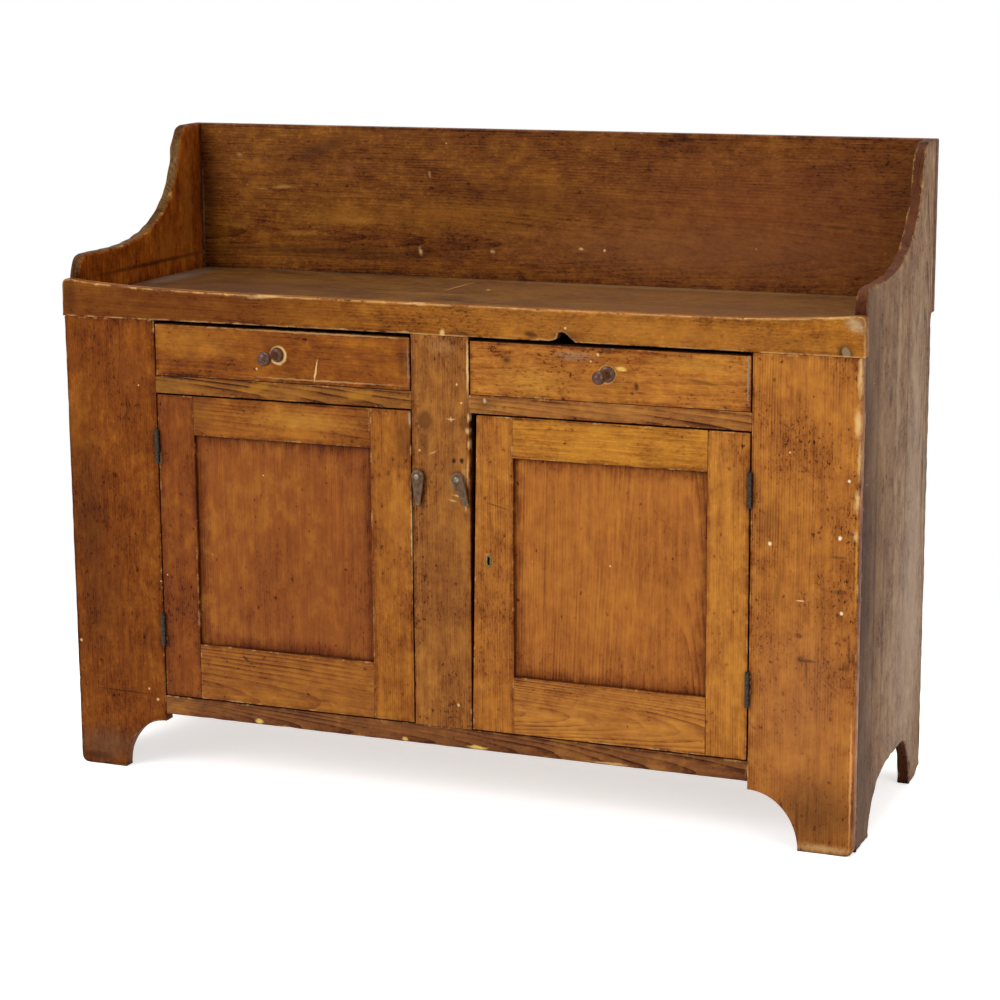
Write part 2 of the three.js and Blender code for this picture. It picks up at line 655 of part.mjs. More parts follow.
// Turn buttons: whittled teardrops on round-headed screws
function pivotX(side) {
  return side * (OPENING_INNER - (side < 0 ? LEFT_PIVOT_INSET : RIGHT_PIVOT_INSET));
}

function buttonShape() {
  const taper = Math.asin((BUTTON_ROUND_RADIUS - BUTTON_TIP_RADIUS) / BUTTON_REACH);
  const shape = new THREE.Shape();
  shape.absarc(0, 0, BUTTON_ROUND_RADIUS, -taper, Math.PI + taper);
  shape.absarc(0, -BUTTON_REACH, BUTTON_TIP_RADIUS, Math.PI + taper, 2 * Math.PI - taper);
  shape.closePath();
  return shape;
}

function turnButton() {
  const geometry = new THREE.ExtrudeGeometry(buttonShape(), {
    depth: BUTTON_THICKNESS - 2 * BUTTON_CHAMFER,
    bevelThickness: BUTTON_CHAMFER,
    bevelSize: BUTTON_CHAMFER,
    bevelOffset: -BUTTON_CHAMFER,
    bevelSegments: 1,
  });
  geometry.rotateX(Math.PI / 2).translate(0, -BUTTON_CHAMFER, 0);
  return cut(geometry, drill(SCREW_RADIUS + FIT, -BUTTON_THICKNESS - OVERRUN, OVERRUN, 0, 0));
}

function buttonAt(side) {
  const name = side < 0 ? "left_turn_button" : "right_turn_button";
  const button = piece(name, turnButton(), TURNED_WOOD);
  button.position.set(pivotX(side), -BUTTON_STANDOFF, BUTTON_HEIGHT);
  button.rotation.y = side < 0 ? 0 : THREE.MathUtils.degToRad(-RIGHT_BUTTON_TILT);
  return button;
}

function turned(outline) {
  return new THREE.LatheGeometry(outline.map(([r, y]) => new THREE.Vector2(r, y)), ROUND_STEPS);
}

function buttonScrew() {
  const seat = -BUTTON_STANDOFF - BUTTON_THICKNESS - FIT;
  return turned([
    [0, seat - SCREW_HEAD_HEIGHT],
    [SCREW_HEAD_RADIUS * SCREW_DOME_SHARE, seat - SCREW_HEAD_HEIGHT],
    [SCREW_HEAD_RADIUS, seat],
    [SCREW_RADIUS, seat],
    [SCREW_RADIUS, SCREW_DEPTH],
    [0, SCREW_DEPTH],
  ]);
}

// Drawers, each about its own centre line: half-blind dovetails, a bottom slid in under the
// back, and sides that reach the back boards and stop the drawer there
const DRAWER_LENGTH = BACK_FACE - FIT;
const DRAWER_HALF = (OPENING_OUTER - OPENING_INNER) / 2 - DRAWER_SIDE_GAP;
const DRAWER_CENTRE = (OPENING_OUTER + OPENING_INNER) / 2;
const DRAWER_LOW = DRAWER_RAIL_TOP + DRAWER_BOTTOM_GAP;
const DRAWER_FRONT_TOP = TOP_RAIL_BOTTOM - DRAWER_TOP_GAP;
const DRAWER_SIDE_TOP = DRAWER_FRONT_TOP - DRAWER_SIDE_DROP;
const DRAWER_INNER = DRAWER_HALF - DRAWER_SIDE_THICKNESS;

// Corners of one tail in y and z, from its root to its wider tip
function tailCorners(index, fit) {
  const pitch = (DRAWER_SIDE_TOP - DRAWER_LOW) / TAIL_COUNT;
  const centre = DRAWER_LOW + pitch * (index + 1 / 2);
  const root = (pitch * TAIL_WIDTH_SHARE) / 2 + fit;
  const shoulder = FRAME_THICKNESS + FIT;
  const tip = FRAME_THICKNESS - TAIL_LENGTH - fit;
  return [
    [shoulder, centre - root],
    [tip, centre - root - TAIL_FLARE],
    [tip, centre + root + TAIL_FLARE],
    [shoulder, centre + root],
  ];
}

function tailIndexes() {
  return Array.from({ length: TAIL_COUNT }, (_, index) => index);
}

function outlineOf(corners) {
  return new THREE.Shape(corners.map(([a, b]) => new THREE.Vector2(a, b)));
}

function drawerBottomSpan() {
  const reach = DRAWER_INNER + DRAWER_GROOVE_DEPTH - PANEL_EDGE_GAP;
  const y = [FRAME_THICKNESS - DRAWER_GROOVE_DEPTH + PANEL_EDGE_GAP, DRAWER_LENGTH];
  const low = DRAWER_LOW + DRAWER_BOTTOM_RISE;
  return span([-reach, reach], y, [low, low + DRAWER_BOTTOM_THICKNESS]);
}

function drawerBottomGroove() {
  const room = grown(drawerBottomSpan(), FIT);
  return block(span(room.x, [room.y[0], DRAWER_LENGTH + OVERRUN], room.z));
}

function drawerBackSpan() {
  const reach = DRAWER_INNER + DRAWER_DADO_DEPTH - FIT;
  const y = DRAWER_LENGTH - DRAWER_BACK_INSET;
  const low = drawerBottomSpan().z[1] + FIT;
  return span([-reach, reach], [y - DRAWER_SIDE_THICKNESS, y], [low, DRAWER_SIDE_TOP - DRAWER_BACK_DROP]);
}

function drawerSide(side) {
  const tails = tailIndexes().flatMap((index) => tailCorners(index, 0));
  const shoulder = FRAME_THICKNESS + FIT;
  const corners = [
    [DRAWER_LENGTH, DRAWER_LOW],
    [shoulder, DRAWER_LOW],
    ...tails,
    [shoulder, DRAWER_SIDE_TOP],
    [DRAWER_LENGTH, DRAWER_SIDE_TOP],
  ];
  const [x0, x1] = ordered(side * DRAWER_INNER, side * DRAWER_HALF);
  const back = grown(drawerBackSpan(), FIT);
  const dado = block(span(back.x, back.y, [back.z[0], DRAWER_SIDE_TOP + OVERRUN]));
  return cut(sideOutline(outlineOf(corners), x0, x1), drawerBottomGroove(), dado);
}

function drawerFront(knobX) {
  const z = [DRAWER_LOW, DRAWER_FRONT_TOP];
  const board = block(span([-DRAWER_HALF, DRAWER_HALF], [0, FRAME_THICKNESS], z));
  const sockets = [-1, 1].flatMap((side) => {
    const [x0, x1] = ordered(side * (DRAWER_INNER - FIT), side * (DRAWER_HALF + OVERRUN));
    return tailIndexes().map((index) => sideOutline(outlineOf(tailCorners(index, FIT)), x0, x1));
  });
  const hole = drill(KNOB_PEG_RADIUS + FIT, -OVERRUN, FRAME_THICKNESS + OVERRUN, knobX, knobZ());
  return cut(board, ...sockets, drawerBottomGroove(), hole);
}

// Knob: peg through the front, base disc, coved neck and a rounded head
function knobZ() {
  return (DRAWER_RAIL_TOP + TOP_RAIL_BOTTOM) / 2;
}

function knob(reach, headRadius) {
  const headLength = headRadius * HEAD_LENGTH_SHARE;
  const headCentre = reach - headLength;
  const startAngle = -Math.acos(KNOB_NECK_RADIUS / headRadius);
  const neckEnd = headCentre + headLength * Math.sin(startAngle);
  const neckStart = KNOB_BASE_THICKNESS + FIT;
  const outline = [
    [0, FRAME_THICKNESS + KNOB_PEG_END],
    [KNOB_PEG_RADIUS, FRAME_THICKNESS + KNOB_PEG_END],
    [KNOB_PEG_RADIUS, -FIT],
    [KNOB_BASE_RADIUS, -FIT],
  ];
  for (let step = 0; step < NECK_STEPS; step += 1) {
    const share = step / NECK_STEPS;
    const radius = KNOB_NECK_RADIUS + (KNOB_BASE_RADIUS - KNOB_NECK_RADIUS) * (1 - share) ** 3;
    outline.push([radius, -neckStart - (neckEnd - neckStart) * share]);
  }
  for (let step = 0; step <= HEAD_STEPS; step += 1) {
    const angle = startAngle + ((Math.PI / 2 - startAngle) * step) / HEAD_STEPS;
    const radius = step < HEAD_STEPS ? headRadius * Math.cos(angle) : 0;
    outline.push([radius, -headCentre - headLength * Math.sin(angle)]);
  }
  return turned(outline.reverse());
}

// Assembly
function carcase() {
  const group = new THREE.Group();
  group.add(piece("left_side", caseSide(-1), PINE_SIDE));
  group.add(piece("right_side", caseSide(1), PINE_SIDE));
  group.add(piece("deck_board", block(deckSpan()), PINE_DECK));
  group.add(piece("backsplash", backsplash(), PINE_GALLERY));
  group.add(piece("cupboard_floor", block(floorSpan()), PINE_BARE));
  group.add(piece("cupboard_shelf", block(shelfSpan()), PINE_BARE));
  for (let index = 0; index < BACK_BOARD_COUNT; index += 1) {
    group.add(piece(`back_board_${index + 1}`, backBoard(index), PINE_BARE));
  }
  return group;
}

function faceFrame() {
  const group = new THREE.Group();
  group.add(piece("top_rail", topRail(), PINE_FRONT));
  group.add(piece("left_stile", sideStile(-1), PINE_FRONT));
  group.add(piece("right_stile", sideStile(1), PINE_FRONT));
  group.add(piece("centre_stile", centreStile(), PINE_FRONT));
  group.add(piece("left_drawer_rail", drawerRail(-1), PINE_FRONT));
  group.add(piece("right_drawer_rail", drawerRail(1), PINE_FRONT));
  group.add(piece("bottom_rail", bottomRail(), PINE_FRONT));
  group.add(piece("left_drawer_runner", outerRunner(-1), PINE_BARE));
  group.add(piece("right_drawer_runner", outerRunner(1), PINE_BARE));
  group.add(piece("centre_drawer_runner", centreRunner(), PINE_BARE));
  return group;
}

function hinges(side, sideName) {
  const group = new THREE.Group();
  hingeBases().forEach((base, index) => {
    const hinge = `${sideName}_${index === 0 ? "upper" : "lower"}_hinge`;
    group.add(piece(`${hinge}_frame_leaf`, hingeLeaf(side, 1, base), IRON));
    group.add(piece(`${hinge}_door_leaf`, hingeLeaf(side, -1, base), IRON));
    group.add(piece(`${hinge}_pin`, hingePin(side, base), IRON));
  });
  return group;
}

function door(side, sideName) {
  const group = new THREE.Group();
  const name = `${sideName}_door`;
  const topRailZ = [PANEL_TOP, DOOR_TOP];
  const bottomRailLevels = [DOOR_BOTTOM, PANEL_BOTTOM];
  const panel = block(panelSpan(side, GROOVE_DEPTH - PANEL_EDGE_GAP));
  group.add(piece(`${name}_hinge_stile`, hingeStile(side), PINE_FRONT));
  group.add(piece(`${name}_latch_stile`, latchStile(side), PINE_FRONT));
  group.add(piece(`${name}_top_rail`, doorRail(side, topRailZ, topTenons(side)), PINE_FRONT));
  group.add(piece(`${name}_bottom_rail`, doorRail(side, bottomRailLevels, bottomTenons(side)), PINE_FRONT));
  group.add(piece(`${name}_panel`, panel, PINE_PANEL));
  group.add(hinges(side, sideName));
  return group;
}

function lock() {
  const group = new THREE.Group();
  group.add(piece("keyhole_liner", keyholeLiner(), BRASS));
  group.add(piece("lock_case", lockCase(), IRON));
  group.add(piece("lock_bolt", block(boltSpan()), IRON));
  return group;
}

function drawer(side, sideName) {
  const group = new THREE.Group();
  group.position.x = side * DRAWER_CENTRE;
  const name = `${sideName}_drawer`;
  const knobX = side < 0 ? LEFT_KNOB_OFFSET : 0;
  const reach = side < 0 ? LEFT_KNOB_REACH : RIGHT_KNOB_REACH;
  const headRadius = side < 0 ? LEFT_KNOB_HEAD_RADIUS : RIGHT_KNOB_HEAD_RADIUS;
  group.add(piece(`${name}_front`, drawerFront(knobX), PINE_FRONT));
  group.add(piece(`${name}_left_side`, drawerSide(-1), PINE_BARE));
  group.add(piece(`${name}_right_side`, drawerSide(1), PINE_BARE));
  group.add(piece(`${name}_back`, block(drawerBackSpan()), PINE_BARE));
  group.add(piece(`${name}_bottom`, block(drawerBottomSpan()), PINE_BARE));
  const handle = piece(`${name}_knob`, knob(reach, headRadius), TURNED_WOOD);
  handle.position.set(knobX, 0, knobZ());
  group.add(handle);
  return group;
}

function turnButtons() {
  const group = new THREE.Group();
  for (const [side, sideName] of SIDES) {
    const screw = piece(`${sideName}_button_screw`, buttonScrew(), IRON);
    screw.position.set(pivotX(side), 0, BUTTON_HEIGHT);
    group.add(buttonAt(side), screw);
  }
  return group;
}

const SIDES = [[-1, "left"], [1, "right"]];
const drySink = new THREE.Group();
drySink.add(carcase(), faceFrame(), lock(), turnButtons());
for (const [side, sideName] of SIDES) {
  drySink.add(door(side, sideName), drawer(side, sideName));
}
drySink.position.y = (LARGEST_KNOB_REACH - TOTAL_BACK) / 2;

export default drySink;
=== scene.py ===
# %% [markdown]
# # A country pine dry sink
#
# This lesson dresses a cupboard for a wash basin: a boarded well behind a curved
# gallery, two drawers, two panelled doors and two wooden turn buttons. The CAD
# model brings every board to its true place, so here each board only gets the
# soft, chipped edges, the old varnish and the small turned pieces that a CAD
# solid leaves out. Lengths are written in millimetres and turned into metres.

# %% Load the frame
import json
import math
from collections import namedtuple
from functools import partial

import bmesh
import bpy
import numpy as np
from mathutils import Matrix, Vector


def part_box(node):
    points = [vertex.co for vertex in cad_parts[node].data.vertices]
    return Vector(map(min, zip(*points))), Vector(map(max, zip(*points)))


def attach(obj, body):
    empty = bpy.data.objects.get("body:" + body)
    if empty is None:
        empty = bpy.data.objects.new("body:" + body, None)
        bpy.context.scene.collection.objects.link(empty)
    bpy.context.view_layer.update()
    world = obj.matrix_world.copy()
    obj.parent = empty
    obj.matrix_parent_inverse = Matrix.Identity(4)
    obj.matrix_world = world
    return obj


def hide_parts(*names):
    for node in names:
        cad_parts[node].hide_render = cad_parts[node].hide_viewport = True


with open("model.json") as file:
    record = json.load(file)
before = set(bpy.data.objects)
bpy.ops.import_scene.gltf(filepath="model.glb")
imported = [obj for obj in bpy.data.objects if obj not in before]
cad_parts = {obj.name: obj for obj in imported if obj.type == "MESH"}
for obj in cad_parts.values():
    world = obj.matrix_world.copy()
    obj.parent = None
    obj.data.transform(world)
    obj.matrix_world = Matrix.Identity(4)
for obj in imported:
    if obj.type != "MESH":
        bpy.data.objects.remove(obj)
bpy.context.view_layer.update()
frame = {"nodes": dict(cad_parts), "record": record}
MM = 0.001

# %% [markdown]
# ## Camera
#
# The picture was taken from the front right and from above, with a long lens. Its
# place was worked out from the corners of the case: straight boards of known length
# leave only one point from which they line up. A lens of about 93 mm on a 36 mm
# sensor keeps the far end of the case nearly as large as the near one.

# %% Set up the camera
CAMERA_PLACE = Vector((1.4775, -3.61395, 1.2756))
CAMERA_AZIMUTH = math.radians(21.89)
CAMERA_DROP = math.radians(11.72)
CAMERA_ROLL = math.radians(-0.35)
LENS_MM = 92.7
SHIFT = (-0.0064, -0.0188)


def camera_axes(azimuth, drop, roll):
    """Right, up and backward of a camera that looks along azimuth and down by drop, then leans by roll."""
    flat = math.cos(drop)
    forward = Vector((-math.sin(azimuth) * flat, math.cos(azimuth) * flat, -math.sin(drop)))
    level = Vector((math.cos(azimuth), math.sin(azimuth), 0))
    rise = level.cross(forward)
    right = math.cos(roll) * level + math.sin(roll) * rise
    return right, right.cross(forward), -forward


scene = bpy.context.scene
camera_data = bpy.data.cameras.new("camera")
camera_data.lens = LENS_MM
camera_data.shift_x, camera_data.shift_y = SHIFT
camera = bpy.data.objects.new("camera", camera_data)
scene.collection.objects.link(camera)
axes = camera_axes(CAMERA_AZIMUTH, CAMERA_DROP, CAMERA_ROLL)
camera.matrix_world = Matrix.Translation(CAMERA_PLACE) @ Matrix(axes).transposed().to_4x4()
scene.camera = camera
scene.view_settings.view_transform = "Standard"
print("camera stands", round(CAMERA_PLACE.length, 2), "m from the middle of the floor under the case")

# %% [markdown]
# ## One helper for every material
#
# Shader nodes are easier to read when each takes one line. The helper adds a node,
# sets its own properties, and either links or sets each socket that it is given.
# Colours are written as on a screen, in sRGB hex, and turned linear in one place.

# %% Helpers for nodes and colours
SRGB_TOE, SRGB_SLOPE, SRGB_OFFSET, SRGB_POWER = 0.04045, 12.92, 0.055, 2.4


def linear(hex_colour):
    """sRGB hex to linear RGBA: a short straight toe, then the power curve of the sRGB standard."""
    parts = [int(hex_colour[i:i + 2], 16) / 255 for i in (1, 3, 5)]
    return [c / SRGB_SLOPE if c <= SRGB_TOE else ((c + SRGB_OFFSET) / (1 + SRGB_OFFSET)) ** SRGB_POWER
            for c in parts] + [1.0]


def add(tree, kind, *inputs, out=0, stops=None, **settings):
    """Adds one node and gives its output. Kind may end in the node's operation. The inputs fill the sockets
    in order, and a pair (socket, value) fills the one that it names; another node's output is linked."""
    kind, _, operation = kind.partition(" ")
    made = tree.nodes.new("ShaderNode" + kind)
    if operation:
        made.operation = operation
    for key, value in settings.items():
        setattr(made, key, value)
    if stops:
        ramp = made.color_ramp.elements
        while len(ramp) < len(stops):
            ramp.new(1.0)
        for element, (position, colour) in zip(ramp, stops):
            element.position, element.color = position, colour
    for order, given in enumerate(inputs):
        socket, value = given if isinstance(given, tuple) and len(given) == 2 else (order, given)
        if isinstance(value, bpy.types.NodeSocket):
            tree.links.new(value, made.inputs[socket])
        else:
            made.inputs[socket].default_value = value
    return made.outputs[out] if made.outputs else made


def new_tree(name):
    """An empty material and its node tree."""
    material = bpy.data.materials.new(name)
    material.use_nodes = True
    material.node_tree.nodes.clear()
    return material, material.node_tree


# A Mix node set to colours: its two colour sockets and its output go by number.
COLOUR_A, COLOUR_B, MIXED = 6, 7, {"data_type": "RGBA", "out": 2}
SMOOTH = {"interpolation_type": "SMOOTHSTEP"}
print("linear value of mid grey:", round(linear("#808080")[0], 3))

# %% [markdown]
# ## Studio
#
# The case stands on a plain white floor in a white room. The room is only at full
# white for what the camera and mirror-like rays see; for lighting it is a softer
# grey, so that colours stay as written. Near the case the floor is an ordinary pale
# surface that takes a shadow, and further out it fades into the white of the room.

# %% Light the studio
ROOM_LIGHT = 0.52
FLOOR_HALF = 9.0
FLOOR_COLOUR, WHITE = linear("#EDEDEC"), linear("#FFFFFF")
FLOOR_GLOW = 0.6
SHADOW_REACH = (0.95, 1.5)


def seen_directly(tree):
    """1 for camera, mirror and glass rays, 0 for the rays that carry light to matt surfaces."""
    path = add(tree, "LightPath").node.outputs
    sharp = add(tree, "Math MAXIMUM", path["Is Glossy Ray"], path["Is Transmission Ray"])
    return add(tree, "Math MAXIMUM", path["Is Camera Ray"], sharp)


world = bpy.data.worlds.new("white_room")
scene.world = world
world.use_nodes = True
room = world.node_tree
room.nodes.clear()
strength = add(room, "MapRange", seen_directly(room), ("To Min", ROOM_LIGHT), ("To Max", 1.0))
add(room, "OutputWorld", add(room, "Background", WHITE, strength))

floor_material, tree = new_tree("painted_studio_floor")
distance = add(tree, "VectorMath LENGTH", add(tree, "TexCoord", out="Object"), out="Value")
seen = seen_directly(tree)
fade = add(tree, "Math MULTIPLY", add(tree, "MapRange", distance, *SHADOW_REACH, **SMOOTH), seen)
lift = add(tree, "Math MULTIPLY", seen, FLOOR_GLOW)
matt = add(tree, "BsdfDiffuse", FLOOR_COLOUR)
near = add(tree, "AddShader", matt, add(tree, "Emission", ("Strength", lift)))
far = add(tree, "Emission", WHITE, 1.0)
add(tree, "OutputMaterial", add(tree, "MixShader", fade, near, far))

floor_mesh = bpy.data.meshes.new("studio_floor")
corners = FLOOR_HALF * np.array([(-1, -1, 0), (1, -1, 0), (1, 1, 0), (-1, 1, 0)])
floor_mesh.from_pydata(corners.tolist(), [], [(0, 1, 2, 3)])
floor_mesh.materials.append(floor_material)
floor = bpy.data.objects.new("studio_floor", floor_mesh)
scene.collection.objects.link(floor)

# Each soft box: where it stands, how wide it is (m) and its power (W). All face the middle of the case.
SOFT_BOXES = {
    "key_from_the_left": ((-2.2, -3.6, 2.9), 2.4, 105),
    "fill_from_the_right": ((3.4, -2.2, 1.8), 2.2, 42),
    "top_light": ((0.0, 0.6, 3.4), 2.2, 45),
}
LIT_POINT = Vector((0, 0, 0.5))
for name, (stand, width, watts) in SOFT_BOXES.items():
    lamp_data = bpy.data.lights.new(name, "AREA")
    lamp_data.size, lamp_data.energy = width, watts
    lamp = bpy.data.objects.new(name, lamp_data)
    lamp.location = stand
    lamp.rotation_euler = (LIT_POINT - Vector(stand)).to_track_quat("-Z", "Y").to_euler()
    scene.collection.objects.link(lamp)
print("soft boxes:", ", ".join(SOFT_BOXES))

# %% [markdown]
# ## Old varnished pine
#
# Pine is soft, with pale early wood and thin dark late wood in each year's ring. A
# plank is a slice through those rings, so the figure is worked out in depth: the
# distance from the heart of the tree, divided by the width of a ring, gives the
# ring's number and how far through the year a point lies. The heart leans a little
# from the plank, which draws the long arches on a flat-sawn face, and slow noise
# bends it. One number, the tone, then says how dark the wood is at a point: rings,
# fibres, streaks, blotches of old varnish, pits, and grime together with painted
# shade in corners and along borders all add to it, and one colour ramp turns it
# into bare, golden, brown or black. Edges that hands and cloths have rubbed show
# pale wood.

# %% Find a point's place in its plank
# A board: the way of its grain, the face that shows, its shade, the width of a ring, the heart of the tree
# and its lean, the strength of its figure, patina and specks, a seed and its marks; then its roughness and
# gloss, how much amber shows, how far its edges are rubbed, its dark border of grime and painted shade
# (reach and hidden part in mm, depth), the shade of its back and edges, how far in front of the board's
# middle that shade ends in mm, and how strongly its fibres and pale scratches show.
Board = namedtuple("Board", "grain face shade ring heart lean figure patina specks seed marks rough gloss "
                   "amber rub border back turn_at fine",
                   defaults=((), 0.36, 0.1, 0.2, 0.08, (9, 0, 0.17), None, 0, 1.0))
Place = namedtuple("Place", "parts plank shifted")
AXES = {"x": 0, "y": 1, "z": 2}
FACE_PLANES = {"front": (0, 2, 1), "side": (1, 2, 0), "top": (0, 1, 2)}
FACE_SIGNS = {"front": -1, "side": 1, "top": 1}
SEED_STEPS_MM = (371.0, 173.0, 911.0)

# Soft noise in the wood: the size of a lump in mm across, through and along the plank, detail and roughness.
PATTERNS = {
    "slow_bend": ((90, 90, 520), 2, 0.55), "quick_bend": ((13, 13, 120), 2, 0.55),
    "fibre": ((1.7, 1.7, 34), 3, 0.55), "streak": ((7, 7, 180), 3, 0.55), "showing": ((60, 60, 190), 3, 0.55),
    "blotch": ((85, 85, 130), 6, 0.68), "scuff": ((17, 17, 26), 5, 0.68), "dash": ((3.2, 3.2, 7), 3, 0.7),
    "ragged": ((5, 5, 5), 3, 0.55), "wobble": ((9, 9, 9), 2, 0.55), "patchy": ((30, 30, 30), 6, 0.75),
}
GREY_PATTERNS = ("fibre", "streak", "showing", "blotch", "scuff", "dash")


def centre_mm(node):
    """The middle of a CAD node's box, in millimetres."""
    low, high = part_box(node)
    return [(a + b) / 2 / MM for a, b in zip(low, high)]


def plank_ways(board):
    """The axes that run across a plank, through it and along its grain."""
    across, up, deep = FACE_PLANES[board.face]
    return (up, deep, across) if AXES[board.grain] == across else (across, deep, up)


def in_plank(put, node, board):
    """A point's x, y and z in mm, its place from the plank's middle along the plank's own ways, and the same
    moved far off by the board's seed, so that no two boards share a pattern."""
    parts = put("SeparateXYZ", put("VectorMath SCALE", put("TexCoord", out="Object"), ("Scale", 1 / MM)))
    parts, ways, middle = parts.node.outputs, plank_ways(board), centre_mm(node)
    plank = put("VectorMath ADD", put("CombineXYZ", *(parts[way] for way in ways)),
                tuple(-middle[way] for way in ways))
    far_off = tuple(board.seed * step for step in SEED_STEPS_MM)
    return Place(parts, plank, put("VectorMath ADD", plank, far_off))


def lumps(put, place, pattern, out="Fac"):
    """Soft noise of a named pattern; the place is divided by the size of a lump, so that lumps keep it."""
    size_mm, detail, roughness = PATTERNS[pattern]
    scaled = put("VectorMath MULTIPLY", place, tuple(1 / size for size in size_mm))
    return put("TexNoise", ("Vector", scaled), ("Scale", 1.0), ("Detail", detail), ("Roughness", roughness),
               out=out)


finest = min(min(size) for size, _, _ in PATTERNS.values())
print(len(PATTERNS), "patterns of noise, the finest", finest, "mm wide")

# %% Draw the year rings
BENDS_MM = {"slow_bend": 14.0, "quick_bend": 1.7}
LATE_WOOD_POWER, FAINTEST_YEAR = 2.6, 0.35


def year_rings(put, at, board):
    """How much late wood a point holds: its distance from the bent heart over the width of a ring is its
    year, and how far that year has gone, raised to a power, is weighed with the year's own strength."""
    bent = at.plank
    for pattern, amount in BENDS_MM.items():
        push = put("VectorMath MULTIPLY_ADD", lumps(put, at.shifted, pattern, "Color"), (amount, amount, 0),
                   (-amount / 2, -amount / 2, 0))
        bent = put("VectorMath ADD", bent, push)
    ways = (1, 0, board.lean[0]), (0, 1, board.lean[1])
    from_heart = [put("Math ADD", put("VectorMath DOT_PRODUCT", bent, way, out="Value"), offset)
                  for way, offset in zip(ways, board.heart)]
    radius = put("VectorMath LENGTH", put("CombineXYZ", *from_heart), out="Value")
    year = put("Math MULTIPLY", radius, 1 / board.ring)
    late_wood = put("Math POWER", put("Math FRACT", year), LATE_WOOD_POWER)
    harvest = put("TexWhiteNoise", ("W", put("Math FLOOR", year)), noise_dimensions="1D", out="Value")
    return put("Math MULTIPLY", late_wood, put("MapRange", harvest, ("To Min", FAINTEST_YEAR)))


print("the heart of a tree wanders", sum(BENDS_MM.values()), "mm at most")

# %% Add up the tone
SHOWING_SPAN, SHOWING_SHARES = (0.38, 0.62), (0.4, 1.8)
MIDDLE_TONE, FIGURE_LIFT = 0.49, 0.3
FIBRE_TONE, STREAK_TONE, BLOTCH_TONE, SCUFF_TONE = 0.36, 0.45, 2.0, 1.8
DASH_SPAN, CROWD_SPAN = (0.53, 0.7), (0.44, 0.62)
SCRATCH_SPAN, SCRATCH_TONE, CLEAR_SPAN = (0.45, 0.32), 0.36, (0.64, 0.46)
BORDER_UNEVEN = 0.8
PIT_CELL_MM, PIT_PUSH_MM, PIT_WIDEST, PIT_TONE = (10, 10, 15), 9.0, 0.34, 0.5
# How far a corner reaches, and how strongly it darkens the wood: grime and painted shade together.
CREVICE_REACH, DIRT_AND_SHADE_POWER, DIRT_AND_SHADE_TONE = 18 * MM, 1.6, 0.8
CORNER_RAYS = 6


def varnish_tone(put, soft, rings, board):
    """Rings where a slow noise lets them show, and each pattern of noise weighed and centred on zero; short
    dark dashes join them where the blotches crowd, and pale scratches where they do not."""
    least_and_most = (board.figure * share for share in SHOWING_SHARES)
    showing = put("MapRange", soft["showing"], *SHOWING_SPAN, *least_and_most)
    tone = put("Math MULTIPLY_ADD", rings, showing, MIDDLE_TONE - FIGURE_LIFT * board.figure)
    weights = {"fibre": FIBRE_TONE * board.fine, "streak": STREAK_TONE, "blotch": board.patina * BLOTCH_TONE,
               "scuff": board.patina * SCUFF_TONE}
    for pattern, amount in weights.items():
        tone = put("Math ADD", tone, put("Math MULTIPLY_ADD", soft[pattern], amount, -amount / 2))
    dashes = put("MapRange", soft["dash"], *DASH_SPAN, 0.0, board.specks, **SMOOTH)
    tone = put("Math MULTIPLY_ADD", dashes, put("MapRange", soft["blotch"], *CROWD_SPAN), tone)
    scratches = put("MapRange", soft["dash"], *SCRATCH_SPAN, 0.0, SCRATCH_TONE * (1 - board.fine), **SMOOTH)
    return put("Math MULTIPLY_ADD", scratches, put("MapRange", soft["blotch"], *CLEAR_SPAN), tone)


def border_dirt_and_shade(put, at, scuff, node, board):
    """Old varnish, grime and painted shade along a board's border: how far a point is past an inner
    rectangle, made uneven.
    """
    low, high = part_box(node)
    reach_mm, hidden_mm, depth = board.border
    past = put("VectorMath ADD", put("VectorMath ABSOLUTE", at.plank),
               tuple(hidden_mm - (high[way] - low[way]) / 2 / MM for way in plank_ways(board)))
    across, _, along = put("SeparateXYZ", past).node.outputs
    uneven = reach_mm * BORDER_UNEVEN
    past = put("Math ADD", put("Math MAXIMUM", across, along),
               put("Math MULTIPLY_ADD", scuff, uneven, -uneven / 2))
    return put("MapRange", past, -reach_mm, 0.0, 0.0, depth, **SMOOTH)


def dark_pits(put, at, board):
    """Cells of a real size, pushed about by finer noise. A cell holds a pit if its own random number is high
    enough; a higher one makes a wider pit, which is darkest in its middle."""
    push = lumps(put, at.shifted, "ragged", "Color")
    place = put("VectorMath MULTIPLY_ADD", push, (PIT_PUSH_MM,) * 3, at.shifted)
    place = put("VectorMath MULTIPLY", place, tuple(1 / size for size in PIT_CELL_MM))
    cell = put("TexVoronoi", ("Vector", place), ("Scale", 1.0)).node.outputs
    chosen = put("MapRange", put("SeparateXYZ", cell["Color"]), 1 - board.specks, 1.0)
    return put("MapRange", cell["Distance"], put("Math MULTIPLY", chosen, PIT_WIDEST), 0.0, 0.0, PIT_TONE,
               **SMOOTH)


def corner_dirt_and_shade(put):
    """The share of near surroundings that is closed off, raised to a power: grime and painted shade in
    corners.
    """
    open_air = put("AmbientOcclusion", ("Distance", CREVICE_REACH), out="AO", samples=CORNER_RAYS)
    return put("Math POWER", put("Math SUBTRACT", 1.0, open_air), DIRT_AND_SHADE_POWER)


print("dirt gathers within", round(CREVICE_REACH / MM), "mm of a corner")

# %% Colour the varnish and lay the marks on it
Mark = namedtuple("Mark", "x z long wide turn colour strength soft", defaults=(0, "#2A1408", 0.8, 0.6))
